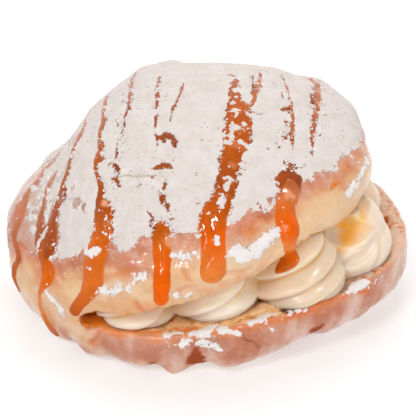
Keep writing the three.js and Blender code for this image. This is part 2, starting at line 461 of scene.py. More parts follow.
# swellings and hollows along the outline: place and height
OUTLINE = [
    (54.1, 7.1, 17.9, -1.18), (53, 13.9, 18.5, -0.67), (51, 20.3, 19, -0.17), (48.2, 26, 19.5, 1.22), (43.7, -7.7, 40.2, -0.07), (43.7, -3.3, 41.7, -0.94),
    (43.3, 1.9, 42.8, -0.84), (41.9, 4.5, 44.8, -2.4), (41.2, 6.9, 47.6, -0.65), (39.8, 9.3, 50, 0.99), (37.7, 11.1, 52.1, 0.12), (35.1, 12.8, 53.9, 0.34),
    (32.4, 14.5, 55.5, 0.2), (29.4, 15.6, 56.9, 1.46), (25.6, 16.3, 57, -0.57), (22.3, 17.3, 57.4, -0.77), (19.3, 18.2, 58.3, 0.36), (13, 19.4, 58.9, -0.94),
    (9.8, 19.7, 58.7, -1.97), (6.8, 20.5, 58.7, -1.73), (3.8, 21, 59, -1.32), (0.8, 21.4, 58.4, -1.59), (-2.2, 21.9, 58.7, -1.16), (-5.2, 22, 58.3, -1.02),
    (-8.4, 22.2, 58.9, 0.88), (-11.6, 22.2, 59.2, 1.05), (-14.6, 21.6, 58.2, -0.96), (-17.8, 21.4, 57.9, 1.81), (-20.4, 20.8, 56.1, 0.21), (-23, 19.9, 54.4, -0.61),
    (-25.5, 19.1, 52.9, 0.83), (-27.8, 18.1, 51, -0.44), (-30.2, 17.2, 49.3, -0.67), (-32.4, 15.6, 47.7, 0.91), (-35.3, 12.2, 43.3, -2.4), (-37.6, 11.1, 41.5, -2.11),
    (-39.5, 10.8, 39, -0.8), (-42.7, 11.4, 36.4, 0.5), (-45.7, 12.1, 33.4, 0.65), (-48.1, 11.4, 30.5, -0.81), (-50.9, 8.7, 28.7, 0.55), (-52.8, 5.2, 26.8, -0.3),
    (-54.4, 1.6, 24.6, 0.08), (-55.1, -2.3, 22.5, 0.57), (-54.5, -5.8, 20, -1.39), (-53.7, -9.5, 17.8, -1.25), (-53.1, -13, 15.5, -1.18), (-52.6, -16.3, 13, 0.54),
    (-51.2, -18.2, 10, 0.33), (-49.3, -18.5, 6.5, 0.24), (-46.7, -20, 4.1, 0.21), (-43.8, -23.1, 2.9, -1.21), (-41.5, -27.2, 2, 1.09), (-34.1, -32.7, 1.8, -1.31),
    (-31.4, -35.2, 1, 1.14), (-27.9, -37.2, 1.1, 0.3), (-24.4, -38.3, 1.2, -0.57), (-21.4, -39.8, 1, 0.45), (-18.3, -40.7, 1.1, 0.32), (-15.3, -41.3, 1.1, 0.83),
    (-12.2, -41.2, 1.7, -0.96), (-4.1, -42, 1.8, 1.13), (-1.5, -41.4, 2, -0.5), (1.1, -41.3, 2.1, -1.39), (3.8, -42.7, 1.8, 1.48), (6.5, -42.8, 1.7, 1.76),
    (9.1, -42.1, 2.1, 0.1), (11.6, -41.2, 2.5, 0.49), (14.1, -39.9, 2.8, 0.9), (16.6, -38.5, 3.2, -0.11), (19.1, -37.5, 3.7, -0.21), (21.7, -36.2, 4.1, 0.54),
    (24.2, -34.5, 4.6, -0.35), (26.9, -32.9, 5, -1.47), (30.4, -31.9, 5.1, 0.42), (33.8, -30.4, 5.5, 0.61), (36.8, -28, 6.1, -1.17), (40.6, -25.8, 6.5, 1.11),
    (43.6, -22.6, 7.3, -0.68), (47.1, -19.5, 8.2, 0.32), (50.3, -15.5, 9.1, 0.37), (52.5, -11.2, 10.5, 0.13), (54, -6.3, 12, -0.28), (54.9, -2.2, 14.1, 0.2),
    (54.6, -0.3, 17.5, -0.65),
]
_q = settle(bun_field, cast([(a, b) for a, b, _, _ in SWELLS]), 2)
bump_q = np.concatenate([_q, [r[:3] for r in OUTLINE]]).astype(np.float32)
bump_a = np.array([a for _, _, a, _ in SWELLS] + [r[3] for r in OUTLINE], np.float32)
bump_k = np.array([0.5 / r**2 for _, _, _, r in SWELLS] + [0.5 / 3.6**2] * len(OUTLINE), np.float32)
# smaller ones: runs of glaze at the foot, bubbles, a lump, a mound of crumb and a hole in the rim
BLISTERS = [(142, 363, 0.5, 1.6), (173, 366, 2.6, 2.3), (233, 341, 1.1, 2.2), (319, 321, 0.8, 1.2), (140, 350, 0.35, 0.8), (264, 309, 1.0, 2.4), (386, 223, -1.6, 1.5)]

# valleys of the fourth rosette in the main view: across, down, radius and depth in millimetres
VALLEYS = [
    [(343, 228, 5.0, 3.4), (349, 230, 4.4, 3.0), (356, 230.5, 3.4, 2.3), (363, 230, 2.4, 1.6), (370, 229.3, 1.6, 1.0), (375, 229, 1.0, 0.5)],
    [(345, 264.5, 1.2, 0.8), (357, 260, 1.3, 0.9), (367, 252.5, 1.3, 0.8), (373, 244, 1.1, 0.6), (376.5, 236, 0.9, 0.4)],
    [(379.5, 236, 0.9, 0.4), (381, 246, 1.0, 0.6), (379, 257, 1.0, 0.6), (374, 267, 0.9, 0.4)],
    [(366, 203, 2.0, 0.9), (364.5, 211, 2.0, 1.0), (361.5, 217, 1.4, 0.7)],
]
for line in VALLEYS:
    _c = curve(line, 2.5)
    _q = settle(cream_field, cast(_c[:, :2], cream_field), 2)
    _q = _q + normals_of(cream_field, _q) * (_c[:, 2] - _c[:, 3])[:, None]
    carve_q, carve_r = np.concatenate([carve_q, _q]), np.concatenate([carve_r, _c[:, 2]])

# -------------------------------------------------------------------- caramel
# strokes in the main view: across, down, width, height in millimetres
STROKES = {
    "a": [(61.6, 150.4, 4.5, 0.3), (53.6, 161, 6.5, 0.4), (44, 170.5, 9.1, 0.5), (38.8, 180, 9.1, 0.5), (32, 188, 9.1, 0.5), (25.4, 196, 11.7, 0.5), (19.5, 205, 15.6, 0.5), (16, 214.7, 18.2, 0.55), (14.5, 226, 15.6, 0.6), (14, 238.8, 7.8, 0.8), (16.7, 247, 5, 0.9), (19.4, 257.6, 5.5, 1), (15.6, 267, 7, 1.1), (15, 276, 5, 1.1), (17.5, 285, 3.5, 0.9), (20, 291, 2.5, 0.7)],
    "b": [(57, 172, 3.8, 0.3), (52, 180, 7.5, 0.4), (49, 186, 10, 0.5), (46, 196, 6.2, 0.5), (43.5, 208, 6.2, 0.5), (41, 218, 8.1, 0.6), (40, 230, 8.8, 0.6), (39.5, 243, 10, 0.7), (44, 257.6, 10, 0.9), (47, 267, 12, 1.2), (48, 276, 14, 1.3), (43, 286, 8, 1.1), (39.8, 294, 4.5, 0.9), (40.2, 304.5, 4, 0.8), (43.5, 312.5, 4, 0.9), (47, 320.5, 5.5, 1), (52, 328.5, 7, 1), (57, 334, 5, 0.8)],
    "c": [(93.7, 107, 3, 0.3), (87, 117, 4.8, 0.4), (84.4, 126.3, 4.8, 0.4), (80.4, 135.7, 7.2, 0.4), (76.3, 143.7, 7.8, 0.5), (73, 153, 7.2, 0.5), (69.6, 163.8, 7.2, 0.5), (67, 174.6, 7.2, 0.5), (63, 184, 6, 0.5), (59.6, 201, 9.6, 0.5), (56, 211, 10.8, 0.5), (53, 223, 13.2, 0.5), (50.5, 234, 18, 0.6), (49, 245, 17, 0.7), (47, 256, 13, 0.8)],
    "c2": [(65.6, 186, 3, 0.3), (66, 192, 5, 0.4), (65, 198, 4, 0.4)],
    "d": [(111, 90, 3, 0.4), (107, 97, 5, 0.4), (104.5, 106, 5.5, 0.5), (103, 114, 4, 0.4), (103.8, 122, 7, 0.5), (101, 130, 6, 0.5), (99.8, 141, 5, 0.4), (101, 149, 8, 0.4), (99.5, 156, 9, 0.5), (96.6, 165, 5.5, 0.5), (96, 173, 3.5, 0.4), (98.4, 179, 5, 0.4), (100.4, 185, 6, 0.5), (101.5, 192, 6, 0.5), (99, 201, 7, 0.5), (101.5, 206, 13, 0.6), (103, 212, 18, 0.6), (103, 224, 19.5, 0.7), (102, 236, 20, 0.8), (99, 247, 20, 0.9), (96, 254, 21, 0.9), (94, 267, 20, 1.1), (93, 280, 20, 1.2), (90, 287, 18, 1.2), (85.5, 296.5, 14, 1.3), (79, 304, 12, 1.3), (74.5, 311, 11, 1.4)],
    "e": [(135.3, 74, 3, 0.4), (132, 82, 5, 0.5), (130.5, 92, 4.8, 0.5), (129.9, 101, 5, 0.5), (128.6, 109, 4.5, 0.5), (125.2, 117, 3, 0.4), (124, 127.7, 2.6, 0.4), (120, 137, 3, 0.4), (118.5, 146.4, 4, 0.4), (116.5, 155.8, 2.8, 0.4), (115.5, 163, 3, 0.4), (118, 169, 6, 0.4), (116, 176, 3, 0.3)],
    "e2": [(113, 178, 4, 0.3), (117, 181, 6, 0.4), (118.5, 186, 4, 0.3)],
    "e3": [(110, 164, 3, 0.3), (117, 167, 6, 0.4)],
    "f": [(159.4, 76.8, 3, 0.4), (157.8, 86, 4.4, 0.5), (157, 94, 5, 0.5), (156.8, 104, 4, 0.4), (156.4, 110, 2.2, 0.3)],
    "f2": [(156.4, 116, 2.8, 0.3), (156, 121, 3.8, 0.4), (155.6, 127, 3, 0.3)],
    "f3": [(155, 135, 2, 0.3), (161, 139, 7, 0.4), (167, 136.5, 8.5, 0.4), (172, 140, 7.5, 0.4), (175, 147, 4, 0.35)],
    "f4": [(157, 145, 2, 0.3), (161, 141, 5, 0.4)],
    "g": [(184.8, 80, 1.8, 0.3), (182.4, 88, 3, 0.4), (179.4, 95, 3, 0.4), (177, 101.6, 3.5, 0.4), (173.4, 107.6, 3.5, 0.4), (171.2, 114, 2.2, 0.3), (170, 121.5, 2.6, 0.3)],
    "p1": [(154.5, 168, 2.4, 0.3), (161, 166.5, 5, 0.4), (167, 166, 5, 0.4), (170.5, 168, 3, 0.3)],
    "p2": [(151.5, 177, 3, 0.3), (153.5, 175.5, 3, 0.3)],
    "p3": [(164.8, 181, 2.5, 0.3), (164.5, 185, 4, 0.4), (164, 188.5, 3, 0.3)],
    "p4": [(159.5, 192, 4, 0.3), (162, 198, 6.5, 0.4), (164.5, 204, 5, 0.4), (168.5, 206, 3, 0.3)],
    "p5": [(167, 209, 2, 0.3), (170.5, 217, 1.8, 0.3)],
    "p6": [(148, 212, 2.5, 0.3), (152, 218, 4, 0.3), (151, 225, 4, 0.3)],
    "fd": [(161, 229, 16, 0.6), (161.5, 234, 20, 0.9), (161.8, 241, 21, 1.3), (162, 250, 18, 1.5), (162.5, 262, 16.5, 1.6), (162, 274, 16.5, 1.7), (161.5, 288, 16.5, 1.8), (161, 299, 15.5, 2.0)],
    "h": [(227, 75, 2, 0.3), (232, 75.5, 2.5, 0.3), (235.5, 79, 4, 0.4), (234, 88.8, 10, 0.5), (235.5, 99.5, 14, 0.5), (238.5, 109, 24, 0.6), (238.8, 120, 27, 0.6), (238, 130, 28, 0.6), (236, 141, 26.5, 0.6), (234, 150.4, 24, 0.6), (230.8, 158.5, 22, 0.6), (229.5, 170.5, 20, 0.6), (227.3, 184, 20, 0.7), (224.8, 194.6, 20, 0.7), (220.5, 204, 22, 0.8), (214.5, 213, 24, 1.0), (212.5, 222, 26, 1.2), (213, 235, 26, 1.4), (213.3, 249, 25.5, 1.6), (213, 262, 24.5, 1.8), (213, 272.5, 23, 2.0)],
    "i": [(260.5, 74, 3.5, 0.3), (259.5, 80, 4, 0.3), (258, 87, 8, 0.4), (255, 94, 6, 0.4), (253.5, 101, 5, 0.4), (251, 107, 4, 0.4)],
    "i2": [(253.5, 73.5, 3, 0.3), (252, 80, 2.5, 0.3), (253, 88, 3, 0.3)],
    "jt": [(280, 75, 1.8, 0.3), (284.4, 82, 2.4, 0.3), (287.4, 90, 3.4, 0.4), (289.5, 97, 2.8, 0.35), (291.4, 104, 3.6, 0.4), (291.6, 112, 5, 0.45), (292.2, 120, 4.5, 0.45), (292.6, 131, 4.5, 0.45), (292.8, 141, 3, 0.4), (292.6, 149, 2.2, 0.3)],
    "j1": [(281, 93, 3, 0.3), (283, 98, 3, 0.3)],
    "j2": [(283, 109.5, 4, 0.4), (289, 109.5, 6, 0.4)],
    "j3": [(285.5, 122, 4, 0.35), (286, 127, 3, 0.3)],
    "j4": [(287, 134, 4, 0.35), (285.5, 139, 3, 0.3)],
    "j5": [(276, 144, 2, 0.25), (279, 147, 2, 0.25)],
    "j6": [(284, 161, 2.5, 0.3), (284, 169, 3, 0.35)],
    "j7": [(287, 162, 2.5, 0.3), (293, 167, 6, 0.4), (296.5, 168, 4, 0.35)],
    "j8": [(298, 169.5, 2, 0.3), (306, 164, 2.5, 0.3)],
    "j9": [(279, 180, 7, 0.4), (286, 178.5, 9, 0.5), (293, 177.5, 11, 0.6), (299, 178.5, 8, 0.5)],
    "jd": [(289, 181, 22, 0.8), (289, 187, 22, 0.9), (288, 196, 20, 1.0), (285, 206, 18, 1.2), (285.2, 213, 19.5, 1.3), (285.5, 220, 21, 1.4), (288, 227, 22, 1.7), (289.3, 231, 21.5, 1.8), (290, 237, 18, 1.7), (289.5, 245, 13, 1.5)],
    "k": [(309, 81, 7, 0.35), (316, 80.5, 8, 0.35), (317, 88, 8, 0.35), (317.5, 96, 9, 0.4), (317, 105, 9, 0.45), (315.5, 113, 8, 0.45), (313.5, 122, 6.5, 0.45), (312.8, 131, 6, 0.4), (312.5, 140, 4.6, 0.4), (311.5, 148, 3.6, 0.35), (311.3, 154, 2.4, 0.3)],
    "k2": [(311.5, 95, 4, 0.35), (312, 103, 4, 0.35)],
    "r": [(339.5, 181.5, 3, 0.4), (334.5, 184, 4, 0.5), (330, 190, 3, 0.4)],
}
# a drip that fell on the cream, in three runs side by side
DROP = [
    [(289, 250, 8, 0.8), (290, 257, 8, 0.8), (288, 263, 8, 0.8), (284, 268, 7, 0.7), (279, 271, 5, 0.6)],
    [(284.5, 252, 7, 0.7), (285, 258, 7.5, 0.7), (283, 263, 8, 0.75), (279.5, 268, 7, 0.65), (276.5, 272, 4, 0.5)],
    [(293.5, 253, 6.5, 0.7), (295.5, 258, 7, 0.7), (294, 262, 7.5, 0.7), (290.5, 266, 6.5, 0.65), (286, 269.5, 5, 0.55)],
]
# tones of the caramel, from thin under dusty sugar to thick and bright
CARAMEL = {
    "dusty": (200, 120, 80), "thin": (192, 106, 60), "copper": (184, 92, 42), "deep": (166, 74, 20), "dark": (142, 68, 32), "amber": (188, 86, 10), "orange": (220, 104, 16), "bright": (233, 97, 3), "peach": (228, 128, 56),
}
# tones of the strokes, from the top of each to its end
TINTS = {
    "a": "dusty thin thin copper copper",
    "b": "thin copper deep orange peach copper",
    "c": "dusty thin copper deep deep",
    "d": "dusty thin thin copper amber deep orange orange amber",
    "e": "thin copper dark dark",
    "f": "copper deep",
    "g": "dark copper dark",
    "fd": "amber orange bright bright bright",
    "h": "thin copper amber amber amber deep amber bright peach",
    "i": "dusty thin",
    "jt": "thin thin copper",
    "jd": "copper thin orange bright bright peach",
    "k": "dusty dusty thin copper",
    "r": "peach peach",
    "drop": "orange amber",
}
TINTS = {k: [CARAMEL[c] for c in v.split()] for k, v in TINTS.items()}
PATCH = [CARAMEL["deep"], CARAMEL["dark"]]
CLEAR = {"a": [0.85, 0.9, 0.92, 1.0], "b": [0.85, 0.9, 1.0, 1.0, 0.9], "c": [0.85, 0.88, 0.92, 1.0], "d": [0.85, 0.85, 0.9, 1.0, 1.0, 0.94, 1.0], "jd": [0.95, 0.8, 0.9, 1.0, 1.0, 0.92], "k": [0.6, 0.7, 0.8], "i": [0.8, 0.8], "h": [0.85, 0.95, 1, 1, 1, 1, 1]}
BACK = ("a", "c", "d", "e", "f", "h", "i", "jt", "k")  # strokes that run on over the top


def surface_walk(start, heading, length, step=1.0):
    """Points over the bun in the upright plane through a point and heading."""
    m = np.array([heading[1], -heading[0], 0.0])
    m /= np.linalg.norm(m)
    p, out = start.copy(), []
    for _ in range(int(length / step)):
        n = normals_of(bun_field, p[None])[0]
        d = np.cross(n, m)
        d /= np.linalg.norm(d) + 1e-9
        p = settle(bun_field, (p + d * step)[None], 1)[0]
        out.append(p.copy())
    return np.array(out)


car_p, car_n, car_w, car_h, car_c, car_f = [], [], [], [], [], []


def lay(p, w, h, tints, field=bun_field, clear=(1.0, 1.0)):
    """Adds a stroke along points of a surface, evenly spaced."""
    d = np.concatenate([[0], np.cumsum(np.linalg.norm(np.diff(p, axis=0), axis=1))])
    at = np.linspace(0, d[-1], max(2, int(d[-1] / 0.5)))
    p = np.stack([np.interp(at, d, p[:, a]) for a in range(3)], 1)
    p = settle(field, p, 2)
    car_p.append(p)
    car_n.append(normals_of(field, p))
    car_w.append(0.5 * np.interp(at, d, w) * (1 + 0.14 * noise(p, 3.0, 31)))
    car_h.append(np.interp(at, d, h))
    c = np.array([srgb(*v) for v in tints])
    u = np.linspace(0, 1, len(tints))
    car_c.append(np.stack([np.interp(at / max(d[-1], 1e-6), u, c[:, a]) for a in range(3)], 1))
    car_f.append(np.interp(at / max(d[-1], 1e-6), np.linspace(0, 1, len(clear)), clear))


def widths(p, n, px):
    """Widths over the surface that look that many pixels wide in the main view."""
    t = np.gradient(p, axis=0)
    t /= np.linalg.norm(t, axis=1, keepdims=True) + 1e-9
    b = np.cross(n, t)
    b /= np.linalg.norm(b, axis=1, keepdims=True) + 1e-9
    view = p - CAM
    depth = view @ FW
    view /= np.linalg.norm(view, axis=1, keepdims=True)
    flat = np.sqrt(np.clip(1 - np.sum(b * view, axis=1) ** 2, 0.5, 1))
    return px * depth / FOCAL / flat


def cast_all(lines, step):
    """Curves through rows in the main view, and their points on the bun."""
    cs = [curve(a, step) if len(a) > 1 else np.array(a, float) for a in lines]
    ps = settle(bun_field, cast(np.concatenate(cs)[:, :2]), 2)
    return cs, np.split(ps, np.cumsum([len(c) for c in cs])[:-1])


for k, (key, c, p) in enumerate(zip(STROKES, *cast_all(STROKES.values(), 1.6))):
    lay(p, widths(p, normals_of(bun_field, p), c[:, 2]), c[:, 3], TINTS.get(key, PATCH), clear=CLEAR.get(key, (1.0, 1.0)))
    if key in BACK:
        # sugar hides the stroke at the crest, and it shows again down the far side
        head = p[0] - p[min(4, len(p) - 1)]
        far = surface_walk(p[0], np.array([head[0] * 0.5, abs(head[1]) + 1.0, 0.0]), 58 + 7 * math.sin(3.1 * k))
        keep = far[:, 2] > 24 + 5 * math.sin(1.7 * k)
        far = far[26 : int(np.argmin(keep)) if not keep.all() else len(far)]
        if len(far) > 6:
            u = np.linspace(0, 1, len(far))
            far_w = 1.1 + 0.5 * np.sin(9 * u + k) + 0.5 * smooth(0, 0.2, u) + 1.8 * smooth(0.72, 0.95, u) * (k % 2)
            far_h = 0.4 + 0.8 * smooth(0.7, 1.0, u)
            lay(far, far_w, far_h, [CARAMEL["thin"], CARAMEL["copper"], CARAMEL["orange"]])
for line in DROP[::-1]:
    c = curve(line, 1.6)
    p = settle(cream_field, cast(c[:, :2], cream_field), 2)
    lay(p, widths(p, normals_of(cream_field, p), c[:, 2]), c[:, 3], TINTS["drop"], cream_field)
# the strand between the edge of the crust and that drip
_a = settle(bun_field, cast([(290, 246.5)]), 2)[0]
_n = normals_of(bun_field, _a[None])[0]
_u = np.linspace(0, 1, 14)[:, None]
_s = lerp(_a, p[1], _u) + 0.4 * lerp(_n, normals_of(cream_field, p[1:2])[0], _u) * (4 * _u * (1 - _u))
car_p.append(_s)
car_n.append(np.tile(_n, (len(_s), 1)))
car_w.append(np.full(len(_s), 1.9))
car_h.append(np.full(len(_s), 1.4))
car_c.append(np.tile(srgb(*TINTS["drop"][0]), (len(_s), 1)))
car_f.append(np.full(len(_s), 1.0))
car_p, car_n, car_c = np.concatenate(car_p), np.concatenate(car_n), np.concatenate(car_c)
car_w, car_h, car_f = np.concatenate(car_w), np.concatenate(car_h), np.concatenate(car_f)
# each point of a stroke carries a flat cap: half width, height, depth of its middle and radius of its ball
cap_w = car_w + 0.22  # runs a little under the sugar
cap_h = np.minimum(0.78 * car_h + 0.08, cap_w * 0.75)
cap_s = np.maximum((cap_w**2 - cap_h**2) / (2 * cap_h), 0)
cap_r = cap_s + cap_h

car_tree = kdtree.KDTree(len(car_p))
for i, q in enumerate(car_p):
    car_tree.insert(Vector(q), i)
car_tree.balance()


def caramel_reach(p):
    """Distance from the edge of the nearest stroke, negative inside it, with its half width and height there."""
    out, half, high = np.full(len(p), 4.0), np.zeros(len(p)), np.zeros(len(p))
    cell = 2.5
    spot = np.floor(p / cell).astype(np.int64) + 64
    code = (spot[:, 0] * 128 + spot[:, 1]) * 128 + spot[:, 2]
    order = np.argsort(code, kind="stable")
    heads = np.flatnonzero(np.diff(code[order], prepend=-1))
    for a, b in zip(heads, np.append(heads[1:], len(p))):
        rows = order[a:b]
        mid = (spot[rows[0]] - 64 + 0.5) * cell
        near = np.flatnonzero(np.sum((car_p - mid) ** 2, axis=1) < (car_w + 4.0 + 0.9 * cell) ** 2)
        if len(near):
            d = np.sqrt(((p[rows][:, None] - car_p[near][None]) ** 2).sum(2))
            e = d - car_w[near]
            k = np.argmin(e, axis=1)
            at, far = near[k], d[np.arange(len(rows)), k]
            out[rows] = np.minimum(e[np.arange(len(rows)), k], 4.0)
            half[rows] = car_w[at]
            high[rows] = np.clip(np.sqrt(np.clip(cap_r[at] ** 2 - far**2, 0, None)) - cap_s[at], 0, None)
    return out, half, high


def build_caramel(h=0.345):
    lo = car_p.min(0) - 4.0
    shape = np.ceil((car_p.max(0) + 4.0 - lo) / h).astype(int)
    grid = np.full(shape, 9.0, np.float32)
    mid = car_p - car_n * cap_s[:, None]
    for c, r in zip(mid, cap_r):
        a = np.maximum(np.floor((c - r - 1.5 - lo) / h).astype(int), 0)
        b = np.minimum(np.ceil((c + r + 1.5 - lo) / h).astype(int) + 1, shape)
        ax = [lo[k] + h * np.arange(a[k], b[k]) - c[k] for k in range(3)]
        d = np.sqrt(ax[0][:, None, None] ** 2 + ax[1][None, :, None] ** 2 + ax[2][None, None, :] ** 2) - r
        part = grid[a[0] : b[0], a[1] : b[1], a[2] : b[2]]
        np.minimum(part, d, out=part)
    # round the joins between strokes
    for _ in range(1):
        for ax in range(3):
            grid = 0.25 * np.roll(grid, 1, ax) + 0.5 * grid + 0.25 * np.roll(grid, -1, ax)
    near = np.argwhere(grid < 1.6)
    q = lo + near * h
    under = -(np.minimum(bun_field(q), cream_field(q)) + 0.45)
    idx = tuple(near.T)
    grid[idx] = np.maximum(grid[idx], under)
    p, quads = iso_quads(grid, lo, h)
    p = relax(p, quads, 4)
    # gentle swells along the strokes
    n = normals_of(bun_field, p)
    wave = (0.16 * noise(p, 3.0, 32) + 0.1 * noise(p, 1.5, 33)) * smooth(0.1, 0.5, bun_field(p))
    return p + n * wave[:, None], quads


# ---------------------------------------------------------------------- sugar
# lower edge of the sugar coat in the main view, left to right
COAT_EDGE = [(9, 234), (18, 241), (29, 244), (37, 250), (52, 260), (58, 256), (72, 257.5), (82, 252), (90, 246), (112, 245.5), (120, 249.5), (130, 249.5), (135, 246), (145, 241.5), (150, 241), (160, 230), (173, 235), (183.5, 240), (193, 235), (199.5, 232), (212, 225), (227.5, 222.7), (236, 222.7), (241, 220), (248, 216), (254, 210), (267.5, 211.7), (271.6, 206), (281, 200.7), (290, 180), (302, 183), (310, 184.5), (315, 182), (318, 175), (324, 172), (331, 173), (338, 172), (340, 160), (348, 158.5), (349, 149.5), (357, 149), (359.5, 142), (362.5, 135), (365, 128)]
_e = settle(bun_field, cast(COAT_EDGE), 1)
_u = upper_frame(*to_bun(_e))
edge_az = np.arctan2(_u[1], _u[0])
edge_z = _u[2]
# the far side carries on in the same way
_far = [(0.55, 41.0), (0.95, 39.0), (1.35, 36.0), (1.75, 37.5), (2.1, 34.0), (2.5, 35.0), (2.85, 31.0)]
edge_az = np.concatenate([edge_az, [a for a, _ in _far]])
edge_z = np.concatenate([edge_z, [z for _, z in _far]])
_o = np.argsort(edge_az)
edge_az, edge_z = edge_az[_o], edge_z[_o]

# lumps of sugar away from the coat in the main view, as chains: across, down, radius
LUMPS = [
    [(48, 229, 1.8), (44, 236, 2.8), (40, 245, 2.8), (38, 251, 1.8)], [(28, 205, 3), (33, 207, 4), (37, 208, 3)], [(30, 216, 3.4), (35, 217, 3)], [(31, 229, 3), (34, 231, 2.6)], [(47, 212, 1.6), (47.5, 220, 1.8), (48, 225, 1.2)],
    [(30, 186, 2.5), (37, 190, 2.0)], [(45, 176, 2.2), (42, 184, 2.0)], [(57, 160, 2.6), (62, 168, 3.0), (58, 176, 2.4)], [(22, 199, 1.4)], [(38, 198, 2.2)],
    [(96, 221, 1.4), (92, 228, 1.8)], [(88, 243, 1.6)], [(88, 252, 3.6), (94, 253, 4.2), (100, 251, 3.2)], [(92, 268, 1.8)],
    [(47, 293, 1.8), (52, 299, 2.8), (58, 305, 3.6), (62, 312, 2.8), (65, 317, 1.8)], [(54, 259, 2.2)],
    [(97, 293, 1.8), (103, 291, 3.4), (110, 292, 4.0), (117, 290, 3.6), (120, 288, 1.8)], [(127, 289, 2.2), (130, 285, 1.4)], [(133, 283, 2.8), (139, 280, 3.6), (145, 277.5, 2.6)],
    [(173, 254, 2.8), (180, 257, 1.9), (188, 257, 1.9), (197, 253, 2.3), (199, 254, 1.4)],
    [(173, 296, 1.6), (177, 295, 2.2)], [(186, 297, 1.8), (190, 294, 1.8)],
    [(215, 238, 1.8), (216, 243, 2.0)],
    [(230, 255, 4.4), (238, 252, 7), (246, 255, 8), (254, 252, 7), (262, 245, 5.5), (268, 239, 6), (273, 234, 5.5), (277, 231, 2.6)],
    [(349, 193, 3.6), (353, 188, 4.2), (358, 184, 3.2)], [(359, 180, 1.8), (362, 172, 2.3), (366, 164, 2.6), (368, 156, 1.8)],
    [(165, 334, 2.2), (172, 334, 3.5), (178, 334, 2.6)], [(176, 345, 3.6), (183, 343, 5), (190, 341, 3.6)], [(191, 334, 1.5), (197, 333, 2.6), (203, 331, 4.5)],
    [(203, 332, 5.5), (210, 329, 6.4), (218, 327, 5.4), (226, 331, 5), (234, 333, 4.4), (239, 338, 2.6)], [(200, 342, 3.4), (208, 345, 3.6), (215, 346, 4.4), (221, 349, 3.4)],
    [(252, 322, 4.4), (258, 320, 5.4), (264, 317, 5.4), (272, 315, 4.4), (280, 314, 3.6), (284, 313, 2.6)], [(289, 314, 2.2), (295, 311, 2.2), (301, 310, 2.2), (305, 309, 1.3)],
    [(235.4, 92, 2.9)], [(236.2, 99, 2.7)], [(232.3, 104.3, 2.8)], [(235.4, 112, 3.1), (236, 117, 2.4)], [(247.9, 116, 3.1)], [(243.2, 123.8, 2.6)], [(232.3, 123.8, 2.6), (230, 133, 3.0), (229, 142, 3.0)], [(237.7, 130, 3.0)], [(234.6, 127, 2.6)], [(241.6, 144, 3.0), (246, 145, 2.2)],
    [(224.5, 179, 2.6)], [(230.7, 181.3, 3.0)], [(224.5, 186.7, 3.4), (229, 184.4, 2.6)], [(221.4, 201.5, 3.8), (216, 202.3, 2.2)],
    [(272, 329, 2.4)], [(347, 292, 2.6), (352, 288, 5.4), (359, 283, 6.4), (366, 282, 5.4), (372, 283, 3.4)], [(387, 288, 2.4)], [(377, 278, 1.4), (381, 277, 1.0)],
]
# bare places in the coat: across, down, radius
BARES = [(76, 204, 6.0), (70, 199, 3.0), (84, 207, 4.0), (60, 215, 2.5), (112, 160, 1.2), (119, 205, 1.0), (304, 150, 1.0), (270, 200, 1.6), (352, 150, 1.8), (344, 156, 2.2), (336, 166, 2.0), (258, 205, 1.4)]
bare_p, bare_r = settle(bun_field, cast([b[:2] for b in BARES]), 1), np.array([b[2] for b in BARES]) / 3.68
_c, _p = cast_all(LUMPS, 1.6)
lump_p, lump_r = np.concatenate(_p), np.concatenate(_c)[:, 2] / 3.68


def coat_of(p):
    """Height above the coat's lower edge, in about millimetres over the surface."""
    ux, uy, z2 = upper_frame(*to_bun(p))
    return (z2 - np.interp(np.arctan2(uy, ux), edge_az, edge_z, period=2 * math.pi)) * 0.95


